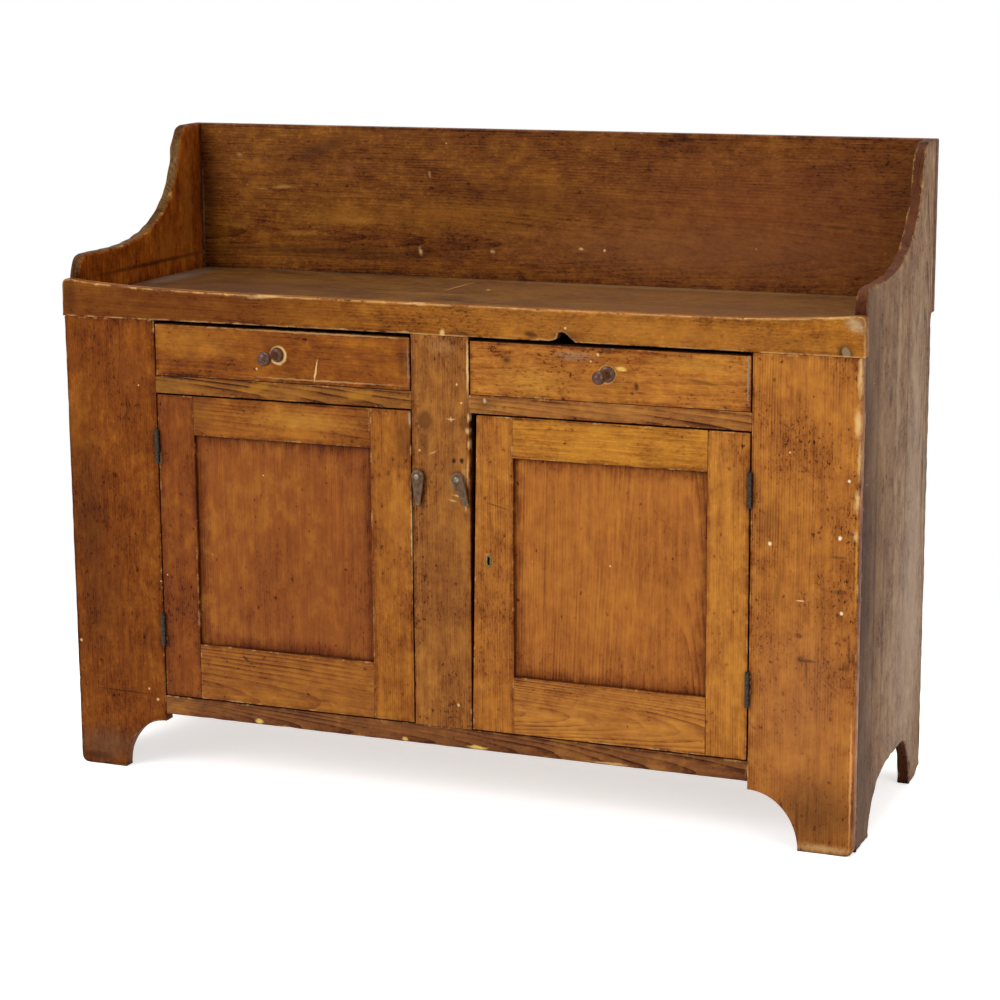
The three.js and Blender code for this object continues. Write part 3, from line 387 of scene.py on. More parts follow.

# Old varnish over a pine shade: how much of each colour channel is left, rubbed gold to black grime and
# shade.
TONE_SHARES = ((0.0, (2.1, 2.6, 2.6)), (0.28, (1.42, 1.58, 1.4)), (0.52, (1.0, 1.0, 1.0)),
               (0.76, (0.58, 0.46, 0.34)), (1.0, (0.15, 0.09, 0.05)))
AMBER, THIN_SPAN = "#AC7422", (0.98, 0.76)
LEFT_END_MM, FRONT_MM = 635.0, 196.15
FACE_ORIGINS_MM = {"front": (LEFT_END_MM, 0, 0), "side": (FRONT_MM, 0, 0), "top": (LEFT_END_MM, FRONT_MM, 0)}
WOBBLE_MM, TURN_MM = 3.0, 1.0
UNEVEN_DASH, UNEVEN_SCUFF, UNEVEN_MIDDLE, MARK_RAGGED = 0.6, 0.5, 0.55, 1.8


def tones_of(shade):
    """The stops of one board's colour ramp: its shade times each share, from rubbed gold to black grime and
    shade.
    """
    return [(place, [min(1.0, c * k) for c, k in zip(linear(shade), shares)] + [1.0])
            for place, shares in TONE_SHARES]


def on_face(put, at, board):
    """A point on the board's face, in mm from the left end or the front and from the floor, made to waver."""
    sway = put("VectorMath MULTIPLY_ADD", lumps(put, at.shifted, "wobble", "Color"),
               (WOBBLE_MM, WOBBLE_MM, 0), (-WOBBLE_MM / 2, -WOBBLE_MM / 2, 0))
    first, second, _ = FACE_PLANES[board.face]
    flat = put("CombineXYZ", at.parts[first], at.parts[second])
    return put("VectorMath ADD", put("VectorMath ADD", flat, FACE_ORIGINS_MM[board.face]), sway)


def marks_on(put, colour, flat, uneven, marks):
    """Lays each stain, dent or rub, and each painted highlight, sheen or shade, over the colour: an oval
    whose inside is 1, softened towards its rim.
    Uneven, a number from 0 to 1 that changes over the board, makes the rim ragged."""
    ragged = put("Math SUBTRACT", uneven, UNEVEN_MIDDLE)
    for mark in (Mark(*row) for row in marks):
        oval = put("Mapping", flat, (mark.x, mark.z, 0), (0, 0, math.radians(mark.turn)),
                   (mark.long / 2, mark.wide / 2, 1), vector_type="TEXTURE")
        reach = put("VectorMath LENGTH", oval, out="Value")
        reach = put("Math MULTIPLY_ADD", ragged, MARK_RAGGED * mark.soft, reach)
        cover = put("MapRange", reach, 1 + mark.soft / 2, 1 - mark.soft, 0.0, mark.strength, **SMOOTH)
        colour = put("Mix", cover, (COLOUR_A, colour), (COLOUR_B, linear(mark.colour)), **MIXED)
    return colour


def varnish_colour(put, at, soft, tone, board):
    """The ramp's colour for the tone, amber where thin, with the marks over it; a back may have its own."""
    colour = put("ValToRGB", tone, stops=tones_of(board.shade))
    patches = put("Math ADD", soft["blotch"], soft["scuff"])
    thin = put("MapRange", patches, *THIN_SPAN, 0.0, board.amber, **SMOOTH)
    colour = put("Mix", thin, (COLOUR_A, colour), (COLOUR_B, linear(AMBER)), **MIXED)
    uneven = put("Math MULTIPLY_ADD", soft["dash"], UNEVEN_DASH,
                 put("Math MULTIPLY", soft["scuff"], UNEVEN_SCUFF))
    marked = marks_on(put, colour, on_face(put, at, board), uneven, board.marks)
    forward = put("Math MULTIPLY", put("SeparateXYZ", at.plank, out=1), FACE_SIGNS[board.face])
    facing = put("MapRange", forward, board.turn_at - TURN_MM, board.turn_at + TURN_MM)
    back = put("ValToRGB", tone, stops=tones_of(board.back)) if board.back else colour
    return put("Mix", facing, (COLOUR_A, back), (COLOUR_B, marked), **MIXED)


print("a ramp of", len(TONE_SHARES), "tones is made from each board's own shade")

# %% Rub the edges and put the pine together
BARE_PINE = "#D9A866"
NICK_CELL_MM, NICK_BOUND, NICK_SIZE = 30, 0.8, 0.065
EDGE_REACH, EDGE_SPAN, PATCHY_SPAN, WORN_MOST = 3.5 * MM, (0.93, 0.5), (0.62, 0.72), 0.88
SCUFF_SPAN, SCUFF_ROUGH, DIRT_ROUGH = (0.3, 0.7), 0.16, 0.3
RING_RELIEF, FIBRE_RELIEF, PIT_RELIEF, WORN_RELIEF = 0.35, 0.5, -0.9, 0.5
RELIEF_STRENGTH, RELIEF_DEPTH = 0.35, 0.6 * MM


def worn_wood(put, at, board):
    """Pale wood shows where the surface bends within a short reach or the mesh says that it is a rim, as far
    as a patchy noise lets it, and in nicks: middles of a few cells, whose random number sets their size."""
    nick = put("TexVoronoi", ("Vector", at.shifted), ("Scale", 1 / NICK_CELL_MM)).node.outputs
    size = put("MapRange", put("SeparateXYZ", nick["Color"]), NICK_BOUND - board.rub, 1.0, 0.0, NICK_SIZE)
    nicks = put("Math GREATER_THAN", size, nick["Distance"])
    inner = put("AmbientOcclusion", ("Distance", EDGE_REACH), out="AO", samples=CORNER_RAYS, inside=True,
                only_local=True)
    rim = put("Attribute", attribute_name="rim", out="Fac")
    edges = put("Math MAXIMUM", put("MapRange", inner, *EDGE_SPAN), rim)
    patchy = put("MapRange", lumps(put, at.shifted, "patchy"), *(bound - board.rub for bound in PATCHY_SPAN))
    rubbed = put("Math MULTIPLY", edges, patchy)
    return put("Math MULTIPLY", put("Math MAXIMUM", rubbed, nicks), WORN_MOST)


def old_pine(name, node, board):
    """Varnished pine for one board: gloss from the varnish, rougher where scuffed, dirty or worn, and a
    slight relief of rings, fibres and pits."""
    material, tree = new_tree(name)
    put = partial(add, tree)
    at = in_plank(put, node, board)
    soft = {pattern: lumps(put, at.shifted, pattern) for pattern in GREY_PATTERNS}
    rings, pits, dirt_and_shade = year_rings(put, at, board), dark_pits(put, at, board), corner_dirt_and_shade(put)
    tone = varnish_tone(put, soft, rings, board)
    tone = put("Math ADD", put("Math ADD", tone, border_dirt_and_shade(put, at, soft["scuff"], node, board)), pits)
    # Painted shade: the tone darkens where near surroundings close the wood in, along with the grime there.
    tone = put("Math MULTIPLY_ADD", dirt_and_shade, DIRT_AND_SHADE_TONE, tone)
    worn = worn_wood(put, at, board)
    colour = put("Mix", worn, (COLOUR_A, varnish_colour(put, at, soft, tone, board)),
                 (COLOUR_B, linear(BARE_PINE)), **MIXED)
    rough = put("MapRange", soft["scuff"], *SCUFF_SPAN, board.rough, board.rough + SCUFF_ROUGH)
    rough = put("Math MULTIPLY_ADD", put("Math ADD", dirt_and_shade, worn), DIRT_ROUGH, rough, use_clamp=True)
    relief = put("Math MULTIPLY_ADD", rings, RING_RELIEF, put("Math MULTIPLY", soft["fibre"], FIBRE_RELIEF))
    relief = put("Math MULTIPLY_ADD", pits, PIT_RELIEF, relief)
    relief = put("Math SUBTRACT", relief, put("Math MULTIPLY", worn, WORN_RELIEF))
    bump = put("Bump", ("Strength", RELIEF_STRENGTH), ("Distance", RELIEF_DEPTH), ("Height", relief))
    skin = put("BsdfPrincipled", ("Base Color", colour), ("Roughness", rough), ("Normal", bump),
               ("Specular IOR Level", board.gloss))
    put("OutputMaterial", skin)
    return material


print("edges are worn within", round(EDGE_REACH / MM, 1), "mm of a bend")

# %% [markdown]
# ## The boards, one by one
#
# Every board came from another place in the log and has had its own hundred years,
# so each gets its own figure, its own shade and its own marks. A mark is a stain, a
# dent or a rub, and a few are painted highlights, sheen or shade: where its middle
# is in millimetres, how long and wide it is, how it is turned, its colour, how
# strong it is and how soft its rim. Its place is measured from the left end and the
# floor, on a side from the front and the floor, and on the deck from the left end
# and the front.

# %% Describe the boards
# A near-black brown for dents, cracks and grime; in a few marks it is painted shade.
PALE, SOOT_AND_SHADE, GREY_WAX, HONEY = "#DDB274", "#2A1408", "#8C7A68", "#C98B35"
# The panels' border reaches further in: grime and painted shade along the recess in the door frame.
PANEL_BORDER = (24, 9, 0.2)

BOARDS = {
    "left_stile": Board("z", "front", "#6F370D", 3.4, (190, 70), (0.0, 0.03), 0.14, 0.5, 0.6, 1, (
        (87, 126, 98, 2.6, -1, SOOT_AND_SHADE, 0.7), (50, 34, 120, 60, 0, "#5A4636", 0.55, 1.0),
        (60, 300, 70, 240, 4, "#4A230C", 0.3, 1.0), (110, 640, 60, 120, 0, "#8A4B1B", 0.4, 1.0),
        (145, 118, 5, 5, 0, PALE, 0.9), (10, 202, 5, 6, 0, PALE, 0.9), (30, 14, 60, 14, 0, SOOT_AND_SHADE, 0.5),
        (4, 360, 5, 720, 0, SOOT_AND_SHADE, 0.5, 0.9), (100, 690, 3, 60, 0, SOOT_AND_SHADE, 0.25),
        (30, 420, 60, 440, 0, "#3A220E", 0.35, 1.0)), gloss=0.06, amber=0.1, fine=1.8),
    "right_stile": Board("z", "front", "#985A22", 3.6, (-220, 90), (0.01, 0.03), 0.22, 0.46, 0.9, 2, (
        (1138, 484, 40, 60, 4, SOOT_AND_SHADE, 0.25, 1.0), (1215, 300, 16, 260, -2, SOOT_AND_SHADE, 0.2, 1.0),
        (1195, 284, 30, 5, 0, SOOT_AND_SHADE, 0.75), (1194, 272, 4, 34, 2, SOOT_AND_SHADE, 0.7),
        (1186, 286, 12, 12, 0, SOOT_AND_SHADE, 0.7), (1183, 320, 13, 8, -12, SOOT_AND_SHADE, 0.7),
        (1238, 438, 26, 5, 0, SOOT_AND_SHADE, 0.45), (1240, 388, 24, 7, -3, SOOT_AND_SHADE, 0.5),
        (1150, 380, 10, 40, -4, SOOT_AND_SHADE, 0.35), (1184, 371, 14, 2.5, 2, PALE, 0.9),
        (1240, 466, 6, 6, 0, "#F0DDB4", 0.95), (1244, 358, 5, 6, 0, "#F0DDB4", 0.9),
        (1139, 450, 5, 6, 0, "#F0DDB4", 0.9), (1251, 548, 5, 5, 0, "#F0DDB4", 0.9),
        (1264, 700, 7, 70, 0, PALE, 0.8, 0.9), (1262, 628, 9, 44, 2, PALE, 0.85, 0.9),
        (1265, 575, 5, 60, 0, PALE, 0.7, 0.9), (1263, 520, 8, 34, -2, PALE, 0.8, 0.9),
        (1264, 430, 4, 130, 0, HONEY, 0.8, 0.9), (1262, 470, 8, 16, 0, PALE, 0.7, 0.9),
        (1262, 110, 4, 200, 0, "#DC9A58", 0.9, 0.5), (1256, 300, 4, 60, 0, SOOT_AND_SHADE, 0.5),
        (1190, 200, 160, 320, 0, "#A5683F", 0.35, 1.0), (1212, 58, 130, 120, 0, SOOT_AND_SHADE, 0.55, 1.0),
        (1185, 40, 5, 70, 3, SOOT_AND_SHADE, 0.5, 0.9), (1200, 60, 4, 60, -2, SOOT_AND_SHADE, 0.4, 0.9),
        (1252, 280, 12, 14, 0, SOOT_AND_SHADE, 0.5, 0.9), (1232, 250, 34, 5, -40, SOOT_AND_SHADE, 0.4, 0.9),
        (1160, 620, 30, 4, -35, SOOT_AND_SHADE, 0.4, 0.9), (1190, 560, 26, 4, -40, SOOT_AND_SHADE, 0.4, 0.9),
        (1225, 8, 90, 14, 0, PALE, 0.5, 0.9)), amber=0.2),
    "centre_stile": Board("z", "front", "#865020", 3.6, (150, 70), (0.0, 0.02), 0.14, 0.45, 0.7, 3, (
        (611, 594, 27, 30, 0, SOOT_AND_SHADE, 0.6, 0.5), (612, 595, 17, 19, 0, "#744219", 0.7, 0.5),
        (674, 594, 19, 27, 0, SOOT_AND_SHADE, 0.5, 0.6), (675, 594, 10, 16, 0, "#7A4619", 0.6, 0.6),
        (652, 598, 15, 2.6, 2, PALE, 0.7), (652, 598, 2.6, 10, 0, PALE, 0.7),
        (610, 558, 16, 40, 0, SOOT_AND_SHADE, 0.35, 1.0), (622, 546, 15, 3, 25, PALE, 0.4, 0.9),
        (656, 536, 8, 8, 0, SOOT_AND_SHADE, 0.95), (669, 537, 7, 9, 0, SOOT_AND_SHADE, 0.95),
        (679, 676, 3.6, 80, 0, PALE, 0.95), (640, 704, 40, 22, 0, PALE, 0.12, 1.0),
        (662, 650, 4, 5, 0, PALE, 0.9), (669, 623, 4, 4, 0, PALE, 0.9), (660, 163, 5, 5, 0, PALE, 0.9),
        (665, 483, 24, 3.2, -10, PALE, 0.7), (674, 470, 3, 18, 4, PALE, 0.6),
        (680, 602, 5, 14, -4, PALE, 0.8, 0.8), (678, 582, 7, 10, 6, PALE, 0.7, 0.9),
        (680, 562, 5, 16, 3, PALE, 0.7, 0.8), (678, 520, 4, 40, -2, PALE, 0.6, 0.9),
        (660, 505, 30, 20, 30, "#C99A50", 0.45, 1.0), (654, 476, 14, 3, -6, PALE, 0.5),
        (640, 350, 60, 200, 0, "#6E3A16", 0.35, 1.0), (672, 515, 10, 22, 0, "#C98B50", 0.6)), amber=0.12,
        fine=1.3),
    # Its first two marks darken the left half and lighten the right half: partly its own tone, partly painted
    # light, brighter to the right.
    "top_rail": Board("x", "front", "#804914", 3.8, (60, 70), (0.0, 0.01), 0.2, 0.56, 0.6, 4, (
        (150, 750, 700, 190, 0, "#592809", 0.72, 1.0), (960, 742, 700, 60, -1, "#B5762F", 0.45, 1.0),
        (640, 725, 9, 12, 10, PALE, 0.8), (668, 726, 40, 8, -4, SOOT_AND_SHADE, 0.4),
        (778, 730, 22, 8, -5, SOOT_AND_SHADE, 0.7), (833, 729, 44, 18, 0, SOOT_AND_SHADE, 0.6, 0.9),
        (831, 741, 4, 4, 0, PALE, 0.9), (1242, 724, 22, 31, 20, SOOT_AND_SHADE, 0.75, 0.5),
        (1243, 727, 12, 18, 20, "#8C755A", 0.85, 0.3), (14, 750, 24, 70, 0, SOOT_AND_SHADE, 0.5, 1.0),
        (1256, 766, 30, 20, -30, "#CDB58A", 0.5, 0.9), (270, 775, 240, 10, 0, PALE, 0.85, 0.5),
        (500, 774, 260, 12, 0, "#D9A65A", 0.9, 0.5), (720, 775, 190, 12, 0, PALE, 0.9, 0.5),
        (980, 776, 330, 8, 0, PALE, 0.8, 0.5), (1180, 776, 130, 7, 0, PALE, 0.7, 0.5),
        (350, 766, 60, 7, 6, PALE, 0.5, 0.7), (600, 767, 30, 6, -8, PALE, 0.5, 0.7)), gloss=0.06, rub=0.2,
        fine=2.0),
    "bottom_rail": Board("x", "front", "#6C3E1E", 3.0, (12, 45), (0.0, 0.035), 0.5, 0.45, 0.3, 5, (
        (324, 101, 14, 9, 0, "#E0B860", 0.9), (571, 100, 10, 7, 0, "#E0B860", 0.8),
        (689, 100, 34, 6, 0, "#E0B860", 0.9), (900, 99, 60, 4, 0, PALE, 0.6)), amber=0.2),
    "left_drawer_rail": Board("x", "front", "#7C4A1A", 5.0, (15, 42), (0.0, 0.05), 0.6, 0.35, 0.3, 6, (
        (336, 627, 40, 16, 20, "#A8701F", 0.6), (505, 624, 50, 14, 14, "#A8701F", 0.6),
        (180, 622, 60, 24, 0, SOOT_AND_SHADE, 0.35, 1.0))),
    "right_drawer_rail": Board("x", "front", "#875225", 4.6, (25, 50), (0.0, 0.04), 0.5, 0.35, 0.3, 7, (
        (705, 622, 40, 24, 0, SOOT_AND_SHADE, 0.45, 1.0), (706, 629, 5, 8, 0, "#C8B8A0", 0.6))),
    # The pale ring round the knob's foot is a painted highlight of its rim.
    "left_drawer_front": Board("x", "front", "#7C410D", 3.6, (60, 70), (0.0, 0.02), 0.16, 0.5, 0.4, 8, (
        (371.5, 677.5, 29, 30, 0, PALE, 0.95, 0.15), (370, 678.3, 23.5, 24, 0, "#6A3A14", 1.0, 0.15),
        (433.5, 658, 36, 3, 79, PALE, 0.95, 0.4), (335, 655.5, 4, 4, 0, PALE, 0.9),
        (574, 680, 10, 70, 0, SOOT_AND_SHADE, 0.35, 1.0), (440, 714, 300, 3, 0, PALE, 0.35),
        (450, 643, 260, 3, 0, PALE, 0.35), (230, 690, 160, 50, 0, "#B07A2A", 0.25, 1.0),
        (584, 676, 3, 70, 0, GREY_WAX, 0.5))),
    # The pale ring round the knob's foot is a painted highlight of its rim, and the dark smudge below and
    # left of the knob is partly grime, partly a painted shadow.
    "right_drawer_front": Board("x", "front", "#9E5F22", 4.5, (-30, 80), (0.0, 0.02), 0.14, 0.42, 0.6, 9, (
        (741, 691, 20, 18, 0, SOOT_AND_SHADE, 0.4, 0.9), (741, 691, 9, 8, 0, "#5A300E", 0.7),
        (895, 678, 28, 28, 0, "#D8AC66", 0.7, 0.15), (895, 678, 25, 25, 0, "#6A3A14", 0.9, 0.15),
        (916, 687, 18, 7, -10, "#E8BE62", 0.85), (939, 663, 8, 13, 0, SOOT_AND_SHADE, 0.75),
        (1040, 674, 52, 6, -8, SOOT_AND_SHADE, 0.5, 0.9), (845, 702, 60, 14, 0, GREY_WAX, 0.4, 1.0),
        (896, 712, 14, 12, 0, SOOT_AND_SHADE, 0.5), (881, 706, 5, 5, 0, PALE, 0.9),
        (1104, 690, 4, 90, 0, GREY_WAX, 0.8), (880, 655, 30, 12, 0, SOOT_AND_SHADE, 0.35, 1.0),
        (780, 660, 110, 50, 0, "#CF9436", 0.35, 1.0), (1030, 700, 120, 26, 0, "#CF9436", 0.3, 1.0)),
        amber=0.25, fine=1.4),
    "left_door_hinge_stile": Board("z", "front", "#753A10", 3.4, (120, 60), (0.0, 0.02), 0.14, 0.4, 0.4, 10,
                                   amber=0.1),
    # The grey-beige mark beside a near-black one, 592 mm up at the latch edge, is a notch drawn as a painted
    # highlight beside painted shade.
    "left_door_latch_stile": Board("z", "front", "#874C17", 3.4, (-150, 60), (0.0, 0.02), 0.24, 0.45, 0.5,
                                   11, (
        (575, 560, 30, 60, 0, SOOT_AND_SHADE, 0.45, 1.0), (566, 420, 30, 200, 0, "#B06E2C", 0.35, 1.0),
        (588, 430, 5, 150, 0, PALE, 0.85, 0.8), (592, 566, 6, 22, -4, PALE, 0.9, 0.7),
        (589, 546, 6, 20, 6, PALE, 0.85, 0.7), (592, 522, 5, 26, 0, PALE, 0.8, 0.7),
        (588, 594, 8, 28, 3, "#A89078", 0.7, 0.6), (594, 592, 5, 34, 0, SOOT_AND_SHADE, 0.75, 0.6),
        (550, 510, 8, 10, 0, SOOT_AND_SHADE, 0.5)), amber=0.3, fine=1.3),
    "left_door_top_rail": Board("x", "front", "#864B16", 4.0, (30, 60), (0.0, 0.03), 0.25, 0.4, 0.3, 12, (
        (232, 590, 60, 80, 0, SOOT_AND_SHADE, 0.35, 1.0), (405, 580, 160, 30, -1, "#C08A35", 0.4, 1.0),
        (520, 596, 40, 60, 0, SOOT_AND_SHADE, 0.3, 1.0))),
    "left_door_bottom_rail": Board("x", "front", "#884F1C", 4.5, (30, 60), (0.0, 0.04), 0.34, 0.35, 0.3,
                                   13, (
        (303, 200, 15, 5, -30, SOOT_AND_SHADE, 0.8),)),
    "left_door_panel": Board("z", "front", "#824518", 3.0, (260, 90), (0.0, 0.02), 0.14, 0.23, 0.25, 14,
                             rub=-0.1, border=PANEL_BORDER),
    "right_door_hinge_stile": Board("z", "front", "#A06224", 3.6, (140, 60), (0.0, 0.02), 0.2, 0.4, 0.4, 15,
                                    fine=1.3),
    "right_door_latch_stile": Board("z", "front", "#94571F", 3.6, (-130, 60), (0.0, 0.02), 0.22, 0.42, 0.5,
                                    16, (
        (724, 473, 40, 2.4, -14, SOOT_AND_SHADE, 0.6), (690, 560, 4, 70, 0, PALE, 0.5)), fine=1.5),
    "right_door_top_rail": Board("x", "front", "#A56820", 4.5, (40, 70), (0.0, 0.02), 0.16, 0.35, 0.3, 17,
                                 amber=0.5, fine=1.5),
    "right_door_bottom_rail": Board("x", "front", "#9A5E26", 3.3, (12, 46), (0.0, 0.045), 0.4, 0.35, 0.3,
                                    18),
    "right_door_panel": Board("z", "front", "#975721", 4.0, (-90, 110), (0.0, 0.05), 0.18, 0.24, 0.25, 19,
                              rub=-0.1, border=PANEL_BORDER),
    # The thin grey line 23 mm from the left end, in the inner corner, is partly dust and partly a painted
    # highlight.
    "backsplash": Board("x", "front", "#663710", 4.2, (50, 60), (0.0, 0.04), 0.26, 0.5, 0.5, 20, (
        (470, 850, 420, 60, 2, "#9A611F", 0.4, 1.0), (260, 842, 160, 34, 0, "#9A6420", 0.4, 1.0),
        (640, 880, 300, 40, -3, "#4A220C", 0.4, 1.0), (1000, 860, 600, 220, 0, "#7E4526", 0.5, 1.0),
        (1118, 852, 56, 16, -2, "#8A5524", 0.6, 0.6), (1118, 852, 40, 8, -2, "#3E200C", 0.6),
        (250, 783, 460, 14, 0, SOOT_AND_SHADE, 0.5, 1.0), (34, 870, 30, 200, 0, SOOT_AND_SHADE, 0.45, 1.0),
        (176, 888, 44, 6, 3, "#B98A48", 0.55, 1.0), (135, 884, 20, 4, 0, "#B98A48", 0.5, 1.0),
        (295, 921, 26, 34, 0, "#8E5030", 0.4, 1.0), (84, 824, 64, 18, 0, "#9A6424", 0.4, 1.0),
        (205, 812, 80, 9, 2, "#A8702A", 0.5, 1.0), (312, 836, 60, 14, 0, "#A8702A", 0.45, 1.0),
        (250, 774, 460, 4, 0, SOOT_AND_SHADE, 0.4, 0.8), (900, 806, 680, 90, 0, "#85532F", 0.5, 1.0),
        (23, 840, 4, 160, 0, "#7A6A5C", 0.45, 0.9), (242, 951, 110, 26, 24, "#3E1F10", 0.5, 1.0),
        (94, 939, 12, 8, 0, PALE, 0.3, 1.0), (421, 790, 7, 14, 8, "#D0AA70", 0.7, 0.9),
        (548, 794, 9, 7, 0, "#D0AA70", 0.6, 0.9), (700, 804, 8, 5, 0, PALE, 0.7),
        (740, 803, 5, 5, 0, PALE, 0.8), (439, 915, 5, 12, 10, PALE, 0.3)), rough=0.36, gloss=0.07,
        amber=0.12, rub=0.02, fine=2.2),
    # On its inner face the thin dark line 775 mm up, parallel to the deck, is a painted shadow.
    "left_side": Board("z", "side", "#71350D", 4.0, (120, 70), (0.0, 0.02), 0.25, 0.56, 0.4, 21, (
        (368, 860, 44, 210, 2, "#8E561C", 0.4, 1.0), (300, 805, 90, 70, 0, "#8E561C", 0.35, 1.0),
        (250, 775, 380, 8, 0, SOOT_AND_SHADE, 0.7, 0.8), (420, 870, 40, 240, 0, "#4A220C", 0.4, 1.0)), gloss=0.01,
        amber=0.12, back="#573B22", turn_at=7.5, fine=1.8),
    # Outer face: the first mark, a dark band along the front, is painted shade; the pale grey marks centred
    # 340 mm and 300 mm from the front are a painted sheen.
    "right_side": Board("z", "side", "#7E5C44", 2.6, (-160, 80), (0.01, 0.02), 0.6, 0.46, 0.9, 22, (
        (20, 400, 190, 1300, 0, "#3A1E0C", 0.8, 1.0), (340, 420, 150, 760, 1, "#B8A08A", 0.5, 1.0),
        (95, 420, 14, 640, 0.3, "#3A2417", 0.55, 1.0), (150, 300, 10, 500, -0.3, "#3A2417", 0.5, 1.0),
        (215, 640, 22, 440, 0, "#BFA78E", 0.35, 1.0), (275, 430, 9, 700, 0.2, "#442D1F", 0.5, 1.0),
        (300, 240, 240, 400, 0, "#B99F8A", 0.4, 1.0), (385, 560, 8, 520, 0, "#55402F", 0.45, 1.0),
        (180, 560, 60, 560, -1, "#7C624C", 0.3, 1.0), (430, 80, 130, 200, 0, "#80592E", 0.6, 1.0),
        (60, 70, 110, 200, 0, "#4A3020", 0.5, 1.0), (170, 640, 22, 34, -20, SOOT_AND_SHADE, 0.6, 0.9),
        (330, 730, 30, 12, 60, SOOT_AND_SHADE, 0.4, 1.0), (415, 60, 18, 60, 8, SOOT_AND_SHADE, 0.6, 0.9),
        (434, 112, 12, 50, -8, SOOT_AND_SHADE, 0.6, 0.9)), rough=0.56, gloss=0.1, amber=0.0, back="#4C2510",
        turn_at=7.5),
    # The grey bands along the back and the left end, and the pale band along the back, are partly dust and
    # partly a painted sheen.
    "deck_board": Board("x", "top", "#58350F", 4.5, (60, 70), (0.0, 0.02), 0.2, 0.5, 0.4, 23, (
        (960, 190, 620, 260, 2, "#6E4626", 0.5, 1.0), (200, 170, 460, 300, 0, "#3C200E", 0.6, 1.0),
        (640, 30, 1240, 110, 0, "#46260F", 0.45, 1.0), (820, 350, 900, 150, 0, "#855A34", 0.55, 1.0),
        (860, 405, 760, 34, 0, "#9A7550", 0.6, 1.0), (200, 424, 400, 24, 0, "#6F665E", 0.5, 1.0),
        (900, 110, 640, 14, 0.6, "#38200F", 0.4, 1.0), (1010, 220, 480, 12, -0.5, "#38200F", 0.35, 1.0),
        (300, 250, 420, 12, 0.4, "#38200F", 0.4, 1.0), (560, 90, 500, 8, 0.2, "#8A6238", 0.4, 1.0),
        (45, 300, 50, 240, 0, "#6F665E", 0.5, 1.0), (590, 300, 8, 7, 0, PALE, 0.8),
        (531, 326, 146, 2.6, 87, "#C09A62", 0.85), (530, 229, 130, 2.4, 9, "#A8875A", 0.75)), rough=0.34,
        gloss=0.28, amber=0.05, fine=2.2),
}
# Inside boards were never varnished: the way of their grain and the face that is drawn, by words in the name.
BARE_GRAIN = {"drawer_left_side": ("y", "side"), "drawer_right_side": ("y", "side"),
              "drawer_back": ("x", "front"), "drawer_bottom": ("x", "top"), "back_board": ("x", "front"),
              "cupboard_floor": ("x", "top"), "cupboard_shelf": ("x", "top"), "runner": ("y", "side")}
BARE_SHADE, FIRST_BARE_SEED, BARE_HEARTS_MM = "#A87B4A", 30, (0, 27, 54, 81, 108)
for order, node in enumerate(sorted(frame["nodes"])):
    for words, (grain, face) in BARE_GRAIN.items():
        if words in node:
            heart = (BARE_HEARTS_MM[order % len(BARE_HEARTS_MM)], 70)
            BOARDS[node] = Board(grain, face, BARE_SHADE, 4.0, heart, (0.0, 0.02), 0.25, 0.3, 0.3,
                                 FIRST_BARE_SEED + order, rough=0.6, gloss=0.2, amber=0.0)
pine = {node: old_pine("varnished_pine_" + node, node, board) for node, board in BOARDS.items()}
print(len(pine), "boards have their own pine")

# %% [markdown]
# ## Iron, brass and turned hardwood
#
# The butt hinges are wrought iron that has gone dark brown with age, the keyhole has
# a thin brass liner that has lost its shine, and the knobs and turn buttons are hard
# wood that hands have darkened. The screws that the buttons turn on are rubbed bright.

# %% Make the small materials
MOTTLE_STOPS, SMOOTHER, ROUGHER, COAT_ROUGH = (0.35, 0.65), 0.1, 0.15, 0.15
CORNER_SPAN, CORNER_MOST = (0.85, 0.45), 0.8


def mottled(name, low, high, grain_mm, metallic=0.0, roughness=0.5, bump=0.2, relief_mm=0.15, coat=0.0,
            gloss=0.5, edge=None, edge_mm=2.0):
    """Two colours of one material mixed by noise of a real size, with roughness and bump from the same noise.
    An edge colour, if given, shows where the surface bends within edge_mm, as on handled corners."""
    material, tree = new_tree(name)
    put = partial(add, tree)
    cloud = put("TexNoise", ("Vector", put("TexCoord", out="Object")), ("Scale", 1 / (grain_mm * MM)),
                ("Detail", 4.0))
    colour = put("ValToRGB", cloud, stops=tuple(zip(MOTTLE_STOPS, (linear(low), linear(high)))))
    if edge:
        inner = put("AmbientOcclusion", ("Distance", edge_mm * MM), out="AO", samples=CORNER_RAYS,
                    inside=True, only_local=True)
        bare = put("MapRange", inner, *CORNER_SPAN, 0.0, CORNER_MOST)
        colour = put("Mix", bare, (COLOUR_A, colour), (COLOUR_B, linear(edge)), **MIXED)
    rough = put("MapRange", cloud, ("To Min", roughness - SMOOTHER), ("To Max", roughness + ROUGHER))
    height = put("Bump", ("Strength", bump), ("Distance", relief_mm * MM), ("Height", cloud))
    skin = put("BsdfPrincipled", ("Base Color", colour), ("Roughness", rough), ("Normal", height),
               ("Metallic", metallic), ("Coat Weight", coat), ("Coat Roughness", COAT_ROUGH),
               ("Specular IOR Level", gloss))
    put("OutputMaterial", skin)
    return material


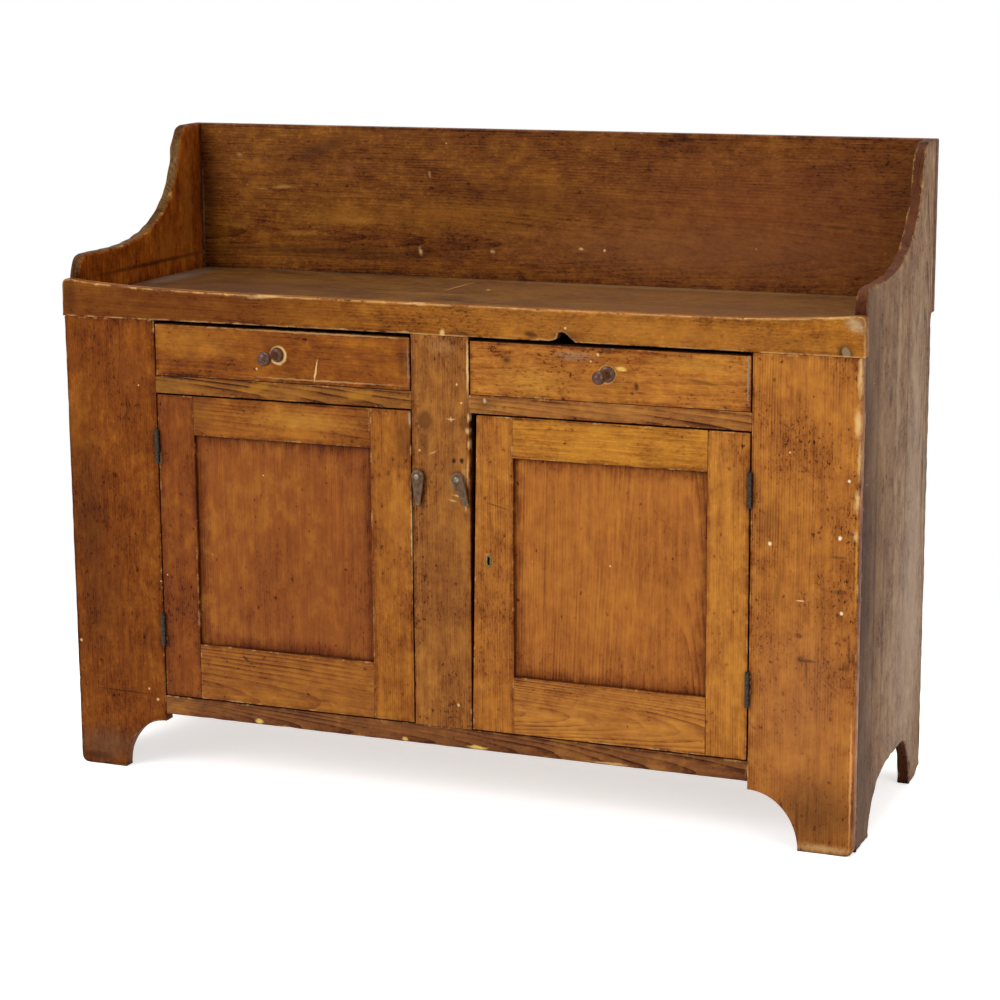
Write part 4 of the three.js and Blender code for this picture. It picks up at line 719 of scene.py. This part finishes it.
oxidised_iron = mottled("wrought_iron_oxidised", "#1E1A17", "#4A4038", 2.5, metallic=0.4, bump=0.5,
                        relief_mm=0.3, gloss=0.3)
tarnished_brass = mottled("cast_brass_tarnished", "#5A4A2C", "#8F7A4C", 3.0, metallic=0.9, roughness=0.4)
handled_hardwood = mottled("turned_hardwood_handled", "#2E160A", "#643A20", 5.0, roughness=0.34, bump=0.3,
                           relief_mm=0.2, coat=0.2, gloss=0.3)
weathered_hardwood = mottled("whittled_hardwood_weathered", "#473020", "#6C5038", 6.0, bump=0.4,
                             relief_mm=0.3, gloss=0.25, edge="#DCBC8E", edge_mm=3.2)
worn_iron = mottled("round_head_screw_worn_bright", "#5A5248", "#A4967E", 1.5, metallic=0.7,
                    roughness=0.42, relief_mm=0.1)
print("small materials:", oxidised_iron.name, tarnished_brass.name, handled_hardwood.name,
      weathered_hardwood.name, worn_iron.name)

# %% [markdown]
# ## Softened CAD pieces
#
# Door parts, drawers, the deck and the hidden boards keep their CAD shape, with its
# tenons, grooves and dovetails. Their corners are only rounded, as planing and wear
# do: first the loose triangles are welded, then every sharp edge gets a small bevel.

# %% Give CAD nodes their materials and softened edges
SOFT_EDGE_MM = {"wood": 1.1, "iron": 0.35}
WELD_MM, BEVEL_ANGLE = 0.01, math.radians(38)
SMALL_FINISH = {"hinge": oxidised_iron, "screw": worn_iron, "lock_case": oxidised_iron,
                "lock_bolt": oxidised_iron, "keyhole_liner": tarnished_brass, "knob": handled_hardwood,
                "turn_button": weathered_hardwood}


def finish_node(node, material, edge_mm):
    """Puts one material on every slot of a CAD node and softens its edges with live modifiers."""
    piece = frame["nodes"][node]
    if not piece.material_slots:
        piece.data.materials.append(material)
    for held in piece.material_slots:
        held.material = material
    weld = piece.modifiers.new("weld_triangles", "WELD")
    weld.merge_threshold = WELD_MM * MM
    bevel = piece.modifiers.new("soften_edges", "BEVEL")
    bevel.width, bevel.segments = edge_mm * MM, 2
    bevel.limit_method, bevel.angle_limit = "ANGLE", BEVEL_ANGLE


for node in frame["nodes"]:
    if node in pine:
        finish_node(node, pine[node], SOFT_EDGE_MM["wood"])
    else:
        finish = next(m for words, m in SMALL_FINISH.items() if words in node)
        finish_node(node, finish, SOFT_EDGE_MM["iron"])
print("softened", len(frame["nodes"]), "CAD pieces")

# %% Make a new piece and dress it like the CAD node that it stands for
BODY_NODES = frame["record"]["behaviour"]["bodies"]


def new_mesh(name, points, walls, smooth):
    """A mesh from points in metres, with the faces named by smooth shaded smoothly."""
    mesh = bpy.data.meshes.new(name)
    mesh.from_pydata(points.tolist(), [], walls)
    mesh.polygons.foreach_set("use_smooth", smooth)
    return mesh


def dressed(mesh, material, *nodes):
    """A piece with its material, and the body and material slot of the nodes that it stands for."""
    piece = bpy.data.objects.new(mesh.name, mesh)
    scene.collection.objects.link(piece)
    piece.data.materials.append(material)
    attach(piece, next(body for body, held in BODY_NODES.items() if nodes[0] in held))
    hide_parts(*nodes)
    return piece


# %% [markdown]
# ## Boards with worn edges
#
# The boards that a hand or a cloth reaches have lost their sharp edges. Each is made
# anew over its CAD node: the outline of the node's face is walked round, its corners
# are eased, and a quarter-round section is carried along it at the front and at the
# back. The radius of that section is small where another board lies against the edge
# and large where the edge is free, it wavers, and here and there it dips into a chip.

# %% Find the outline of a board's face
SAME_PLACE = 2e-5


def face_axes(axis, side):
    """The outward normal of a face and two axes in it, so that first x second = outward."""
    outward = np.zeros(3)
    outward[axis] = side
    second = np.array([0, 1.0, 0]) if axis == 2 else np.array([0, 0, 1.0])
    return np.cross(second, outward), second, outward


def outline_of(node, axis, side):
    """The longest edge loop of the outermost flat face of a node, as points along the face's two axes.

    Triangles whose corners all lie in the outermost plane make the face, and an edge that only
    one of them uses is on its outline; from any edge the next one starts where it ends."""
    mesh = frame["nodes"][node].data
    mesh.calc_loop_triangles()
    points = np.empty(len(mesh.vertices) * 3)
    mesh.vertices.foreach_get("co", points)
    corners = np.empty(len(mesh.loop_triangles) * 3, int)
    mesh.loop_triangles.foreach_get("vertices", corners)
    places, index = np.unique(np.round(points.reshape(-1, 3) / SAME_PLACE).astype(int), axis=0,
                              return_inverse=True)
    faces = index.ravel()[corners].reshape(-1, 3)
    plane = (places[:, axis] * side).max()
    faces = faces[(np.abs(places[faces][:, :, axis] * side - plane) <= 1).all(axis=1)]
    edges = np.concatenate([faces[:, [0, 1]], faces[:, [1, 2]], faces[:, [2, 0]]])
    both_ways = {(a, b) for a, b in edges.tolist()}
    follow = {a: b for a, b in both_ways if (b, a) not in both_ways}
    loops = []
    while follow:
        start, step = follow.popitem()
        loop = [start]
        while step in follow:
            loop.append(step)
            step = follow.pop(step)
        loops.append(loop)
    first, second, _ = face_axes(axis, side)
    flat = [places[loop] * SAME_PLACE @ np.stack([first, second], 1) for loop in loops]
    return max(flat, key=lambda p: abs(np.cross(p, np.roll(p, -1, 0)).sum()))


def turns(before, after):
    """The signed angle from one direction in the plane to the next, from their cross and dot products."""
    return np.arctan2(before[:, 0] * after[:, 1] - before[:, 1] * after[:, 0], (before * after).sum(1))


print("outline of the left side has", len(outline_of("left_side", 0, -1)), "corners")

# %% Ease the outline's corners
OUTLINE_STEP_MM, CORNER_TURN = 4.0, math.radians(28)
SMOOTHING_PASSES, CURVE_STEPS = 3, 6


def eased_outline(corners, ease_mm):
    """Each corner sharper than a set turn becomes a short curve from ease before it to ease after it, with
    the corner as its control point; the runs between are sampled evenly and their facets smoothed by
    averaging each point with its neighbours. Also gives how far each point is from the nearest corner."""
    ahead = np.roll(corners, -1, 0) - corners
    ahead /= np.linalg.norm(ahead, axis=1)[:, None]
    sharp = np.flatnonzero(np.abs(turns(np.roll(ahead, 1, 0), ahead)) > CORNER_TURN)
    runs, lines = [], []
    for start, end in zip(sharp, np.roll(sharp, -1)):
        run = corners[np.arange(start, end + (len(corners) if end <= start else 0) + 1) % len(corners)]
        length = np.r_[0, np.cumsum(np.linalg.norm(np.diff(run, axis=0), axis=1))]
        ease = min(ease_mm * MM, length[-1] / 3)
        count = max(2, int(round((length[-1] - 2 * ease) / (OUTLINE_STEP_MM * MM))) + 1)
        along = np.linspace(ease, length[-1] - ease, count)
        line = np.stack([np.interp(along, length, run[:, k]) for k in (0, 1)], 1)
        if len(run) > 2 and count > 4:
            for _ in range(SMOOTHING_PASSES):
                line[1:-1] = (line[:-2] + 2 * line[1:-1] + line[2:]) / 4
        lines.append((line, np.minimum(along, length[-1] - along), run[-1]))
    for (line, near, tip), (following, _, _) in zip(lines, lines[1:] + lines[:1]):
        t = np.linspace(0, 1, CURVE_STEPS)[1:-1, None]
        curve = (1 - t) ** 2 * line[-1] + 2 * t * (1 - t) * tip + t ** 2 * following[0]
        runs.append((np.vstack([line, curve]), np.r_[near, np.full(len(curve), near[-1])]))
    return np.vstack([run for run, _ in runs]), np.concatenate([near for _, near in runs])


print("eased, it has", len(eased_outline(outline_of("left_side", 0, -1), 5.0)[0]), "points")

# %% Let an edge waver and chip
SLOWEST_WAVE, WAVE_MM, LEAST_WAVE, WAVE_GAIN = 3, 30, 0.3, 1.6
CHIP_DEPTHS_MM, CHIP_WIDTHS_MM = (0.5, 1.6), (2.5, 7)


def wavering(length, share, seed, waves=7):
    """A closed random line from 0 to about 1: a sum of sines with whole numbers of turns round it."""
    dice = np.random.default_rng(seed)
    rounds = dice.integers(SLOWEST_WAVE, SLOWEST_WAVE + int(length / (WAVE_MM * MM)) + 1, waves)
    phases, sizes = dice.random(waves), dice.random(waves) + LEAST_WAVE
    line = (sizes[:, None] * np.sin(2 * np.pi * (rounds[:, None] * share[None] + phases[:, None]))).sum(0)
    return 0.5 + 0.5 * line / sizes.sum() * WAVE_GAIN


def chipping(length, share, chips_per_metre, seed):
    """Extra radius in mm: a bell curve round each random place, none narrower or shallower than a least."""
    chips = np.zeros(len(share))
    for at, width, depth in np.random.default_rng(seed).random((int(length * chips_per_metre), 3)):
        apart = np.abs(share - at)
        apart = np.minimum(apart, 1 - apart) * length / MM
        reach = CHIP_WIDTHS_MM[0] + CHIP_WIDTHS_MM[1] * width ** 2
        chips += (CHIP_DEPTHS_MM[0] + CHIP_DEPTHS_MM[1] * depth) * np.exp(-(apart / reach) ** 2)
    return chips


def freedom(points, own):
    """1 where an edge is free and 0 where a point beside it lies in the box of another CAD node, so that
    another board covers the edge; each value is then averaged with its neighbours."""
    covered = np.zeros(len(points), bool)
    for node in frame["nodes"]:
        if node != own:
            low, high = (np.array(corner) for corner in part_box(node))
            covered |= ((points > low) & (points < high)).all(axis=1)
    free = 1.0 - covered
    for _ in range(SMOOTHING_PASSES):
        free = (np.roll(free, 1) + 2 * free + np.roll(free, -1)) / 4
    return free


print("a wave is at least", WAVE_MM, "mm long and a chip at least", CHIP_DEPTHS_MM[0], "mm deep")

# %% Carry a worn section round the outline
SECTION_STEPS, JOINT_MM, LEAST_MM, MOST_OF_THICKNESS = 5, 0.5, 0.2, 0.42
TOUCH_REACH_MM = 1.3
MOST_OF_CORNER, MOST_OF_BEND = 0.8, 0.55
LEAST_COSINE, MOST_STRETCH = 0.6, 1.3
FREE_LEAST, FREE_WAVE, BACK_CHIPS, RIM_LEAST, RIM_CHIPS = 0.45, 0.75, 0.4, 0.6, 0.6
FIRST_WAVE = 7


def walk_round(loop):
    """For each point of an outline: the length of its step, the outward normal, how much an inset grows
    there, and the radius of the bend, which is the shorter step beside the point over the turn at it."""
    steps = np.roll(loop, -1, 0) - loop
    lengths = np.linalg.norm(steps, axis=1)
    ways = steps / lengths[:, None]
    before = np.roll(ways, 1, 0)
    tangent = ways + before
    tangent /= np.maximum(np.linalg.norm(tangent, axis=1)[:, None], 1e-9)
    normal = np.stack([tangent[:, 1], -tangent[:, 0]], 1)
    stretch = np.minimum(1 / np.maximum((tangent * ways).sum(1), LEAST_COSINE), MOST_STRETCH)
    bend = np.minimum(lengths, np.roll(lengths, 1)) / np.maximum(turns(before, ways), 1e-6)
    return lengths, normal, stretch, np.minimum(bend, np.minimum(np.roll(bend, 1), np.roll(bend, -1)))


def worn_board(node, axis, side, free_mm, ease_mm, chips_per_metre, seed):
    """A board whose outline carries a quarter-round section front and back. At an angle a from the face
    inwards, the section is inset by R(1 - sin a) and lies R(1 - cos a) deep, and R wavers along the edge."""
    first, second, outward = face_axes(axis, side)
    to_space = np.stack([first, second])
    loop, to_corner = eased_outline(outline_of(node, axis, side), ease_mm)
    low, high = (np.array(corner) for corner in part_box(node))
    face, thick = (high if side > 0 else low)[axis] * side, (high - low)[axis]
    lengths, normal, stretch, bend = walk_round(loop)
    most = np.minimum(MOST_OF_CORNER * to_corner, MOST_OF_BEND * bend)
    total = lengths.sum()
    share = np.r_[0, np.cumsum(lengths)[:-1]] / total
    beside = (loop + normal * TOUCH_REACH_MM * MM) @ to_space + outward * (face - thick / 2)
    free, chips = freedom(beside, node), chipping(total, share, chips_per_metre, seed)

    angles = np.linspace(0, np.pi / 2, SECTION_STEPS)
    rings, rims = [], []
    for at_back in (False, True):
        waver = wavering(total, share, seed + FIRST_WAVE + at_back)
        grown = (free_mm - JOINT_MM) * (FREE_LEAST + FREE_WAVE * waver)
        radius = JOINT_MM + free * (grown + (BACK_CHIPS if at_back else 1.0) * chips)
        radius = np.minimum(np.clip(radius, LEAST_MM, thick / MM * MOST_OF_THICKNESS) * MM, most)
        for angle in (angles[::-1] if at_back else angles):
            inset = radius * (1 - np.sin(angle)) * stretch
            deep = radius * (1 - np.cos(angle))
            depth = thick - deep if at_back else deep
            rings.append((loop - normal * inset[:, None]) @ to_space + outward * (face - depth)[:, None])
            rims.append(np.sin(2 * angle) * free * np.clip(RIM_LEAST + RIM_CHIPS * chips, 0, 1))
    count = len(loop)
    ring, spot = np.meshgrid(np.arange(len(rings) - 1), np.arange(count), indexing="ij")
    after = (spot + 1) % count
    walls = np.stack([ring * count + spot, (ring + 1) * count + spot, (ring + 1) * count + after,
                      ring * count + after], -1).reshape(-1, 4)
    last = (len(rings) - 1) * count
    caps = [list(range(count)), list(range(last + count - 1, last - 1, -1))]
    mesh = new_mesh("worn_" + node, np.vstack(rings), walls.tolist() + caps,
                    np.r_[np.ones(len(walls), bool), False, False])
    mesh.attributes.new("rim", "FLOAT", "POINT").data.foreach_set("value", np.concatenate(rims))
    mesh.update()
    return dressed(mesh, pine[node], node)


# Each board: the axis and side of its face, the radius of a free edge, the easing of its corners (mm), and
# how many chips it has in a metre.
WORN_BOARDS = {
    "left_side": (0, -1, 6.0, 5.0, 5), "right_side": (0, 1, 6.0, 5.0, 5), "backsplash": (1, -1, 2.6, 3.0, 4),
    "top_rail": (1, -1, 3.2, 1.6, 9), "left_stile": (1, -1, 2.2, 1.4, 5), "right_stile": (1, -1, 2.2, 1.4, 6),
    "centre_stile": (1, -1, 1.6, 1.2, 9), "bottom_rail": (1, -1, 2.4, 1.4, 8),
    "left_drawer_rail": (1, -1, 1.2, 1.2, 4), "right_drawer_rail": (1, -1, 1.2, 1.2, 4),
}
for seed, (node, numbers) in enumerate(WORN_BOARDS.items()):
    board_piece = worn_board(node, *numbers, seed)
    print(board_piece.name, len(board_piece.data.polygons), "faces")

# %% [markdown]
# ## Knobs, turn buttons and their screws
#
# A knob is turned on a lathe, so it is one profile spun round its axis: a wide foot,
# a thin neck and a round head. A turn button is whittled, so it is a row of rounded
# sections along its length, wide at the screw and narrow at the tip. A screw head is
# a low dome with one slot filed across it.

# %% Turn the knobs
ROUND_SIDES = 48
LATHE_STEPS = 60


def smooth_line(stations, count):
    """A smooth curve through stations: each span is a cubic with slopes of half the step over neighbours."""
    points = np.array(stations, float)
    padded = np.vstack([2 * points[0] - points[1], points, 2 * points[-1] - points[-2]])
    places = np.linspace(0, len(points) - 1 - 1e-9, count)
    span, t = places.astype(int), (places % 1)[:, None]
    p0, p1, p2, p3 = (padded[span + k] for k in range(4))
    return p1 + t / 2 * (p2 - p0 + t * (2 * p0 - 5 * p1 + 4 * p2 - p3 + t * (3 * (p1 - p2) + p3 - p0)))


def closed_tube(name, rings, material, node):
    """Closes a grid of rings (ring, place round it, xyz) with one point at each end and makes it a piece."""
    rows, sides = rings.shape[:2]
    points = np.vstack([rings.reshape(-1, 3), rings[0].mean(0), rings[-1].mean(0)])
    row, side = np.meshgrid(np.arange(rows - 1), np.arange(sides), indexing="ij")
    after = (side + 1) % sides
    walls = np.stack([row * sides + side, row * sides + after, (row + 1) * sides + after,
                      (row + 1) * sides + side], -1).reshape(-1, 4).tolist()
    k, turn = np.arange(sides), (np.arange(sides) + 1) % sides
    last, start, end = (rows - 1) * sides, rows * sides, rows * sides + 1
    walls += np.stack([turn, k, np.full(sides, start)], 1).tolist()
    walls += np.stack([last + k, last + turn, np.full(sides, end)], 1).tolist()
    mesh = new_mesh(name, points * MM, walls, np.ones(len(walls), bool))
    solid = bmesh.new()
    solid.from_mesh(mesh)
    bmesh.ops.recalc_face_normals(solid, faces=solid.faces)
    solid.to_mesh(mesh)
    solid.free()
    return dressed(mesh, material, node)


def round_way(sides):
    """Angles once round a circle."""
    return np.linspace(0, 2 * np.pi, sides, endpoint=False)


# How far each station of the profile stands off the drawer and how wide it is there, in millimetres.
KNOB_PROFILES = {
    "left_drawer_knob": ((0.2, 9.3), (1.2, 9.9), (3, 9.4), (4.6, 6.9), (8, 5.2), (17, 4.4), (27, 4.9),
                         (32, 7.0), (36.5, 10.0), (42, 11.0), (46.5, 9.4), (49.3, 5.4), (50, 1.2)),
    "right_drawer_knob": ((0.2, 11.0), (1.4, 11.6), (3.2, 10.8), (5, 7.6), (9, 5.6), (18, 5.0), (27, 5.8),
                          (32, 8.6), (35, 9.6), (39, 9.6), (42, 8.2), (44, 5.6), (45, 4.4), (46, 1.4)),
}
for node, stations in KNOB_PROFILES.items():
    reach, radius = smooth_line(stations, LATHE_STEPS).T
    way, middle = round_way(ROUND_SIDES), centre_mm(node)
    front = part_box(node.replace("knob", "front"))[0].y / MM
    rings = np.stack([middle[0] + radius[:, None] * np.cos(way), front - reach[:, None] + 0 * way,
                      middle[2] + radius[:, None] * np.sin(way)], -1)
    closed_tube("turned_" + node, rings, handled_hardwood, node)
    print(node, "stands", round(max(reach), 1), "mm off its drawer")

# %% Whittle the turn buttons
BUTTON_ROUND, BUTTON_TIP, BUTTON_REACH, BUTTON_THICK = 10.0, 4.0, 39.0, 9.0
SQUARENESS, THINNING, BUTTON_ENDS = 2 / 3.2, 0.4, (0.004, 0.996)


def turn_button(node, screw):
    """Sections along the button: half width follows a circle at the screw, a straight taper and a small
    circle at the tip; each section is a rounded box (cosine and sine raised to a power below one)."""
    low, high = -BUTTON_ROUND, BUTTON_REACH + BUTTON_TIP
    along = (low + high) / 2 - (high - low) / 2 * np.cos(np.pi * np.linspace(*BUTTON_ENDS, LATHE_STEPS))
    lean = (BUTTON_ROUND - BUTTON_TIP) / BUTTON_REACH
    start, end, slant = BUTTON_ROUND * lean, BUTTON_REACH + BUTTON_TIP * lean, math.sqrt(1 - lean ** 2)
    at_screw = np.sqrt(np.maximum(BUTTON_ROUND ** 2 - along ** 2, 0))
    at_tip = np.sqrt(np.maximum(BUTTON_TIP ** 2 - (along - BUTTON_REACH) ** 2, 0))
    taper = BUTTON_ROUND * slant + (start - along) * lean / slant
    half = np.where(along < start, at_screw, np.where(along > end, at_tip, taper))
    thick = BUTTON_THICK / 2 * (half / BUTTON_ROUND) ** THINNING
    way = round_way(ROUND_SIDES)
    across, rise = (np.sign(f) * np.abs(f) ** SQUARENESS for f in (np.cos(way), np.sin(way)))
    pivot, middle = np.array(centre_mm(screw)), np.array(centre_mm(node))
    down = (middle - pivot) * (1, 0, 1)
    down /= np.linalg.norm(down)
    beside = np.array([down[2], 0, -down[0]])
    rings = (pivot * (1, 0, 1) + (0, middle[1], 0) + along[:, None, None] * down
             + (half[:, None] * across)[..., None] * beside + (thick[:, None] * rise)[..., None] * (0, 1, 0))
    return closed_tube("whittled_" + node, rings, weathered_hardwood, node)


print("buttons reach", BUTTON_REACH + BUTTON_TIP, "mm past their screws")

# %% File the slots of their screws
SCREW_HEAD, SCREW_DOME, SLOT_HALF, SLOT_DEEP, SLOT_SLOPE = 4.0, 1.5, 0.55, 0.9, 0.12
HEAD_SIDES, HEAD_RINGS, HEAD_MIDDLE, SLOT_FLOOR, HEAD_BACK = 96, 26, 0.02, -0.2, -0.8


def screw_head(node, turn):
    """A dome whose height falls with the square of the radius, lowered inside a slot across its middle."""
    low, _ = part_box(node)
    middle = centre_mm(node)
    radius = np.r_[np.linspace(HEAD_MIDDLE, 1, HEAD_RINGS), 1.0][:, None] * SCREW_HEAD
    way = round_way(HEAD_SIDES)
    across, up = radius * np.cos(way), radius * np.sin(way)
    from_slot = np.abs(across * math.sin(turn) + up * math.cos(turn))
    dome = SCREW_DOME * (1 - (radius / SCREW_HEAD) ** 2)
    dome = dome - SLOT_DEEP * np.clip((SLOT_HALF + SLOT_SLOPE - from_slot) / (2 * SLOT_SLOPE), 0, 1)
    height = np.maximum(dome, SLOT_FLOOR)
    height[-1] = HEAD_BACK
    rings = np.stack([middle[0] + across, low.y / MM + SCREW_DOME - height, middle[2] + up], -1)
    return closed_tube("slotted_" + node, rings, worn_iron, node)


for hand, slot_turn in (("left", 0.4), ("right", 1.9)):
    turn_button(hand + "_turn_button", hand + "_button_screw")
    screw_head(hand + "_button_screw", slot_turn)
print("a slot is", 2 * SLOT_HALF, "mm wide and", SLOT_DEEP, "mm deep")
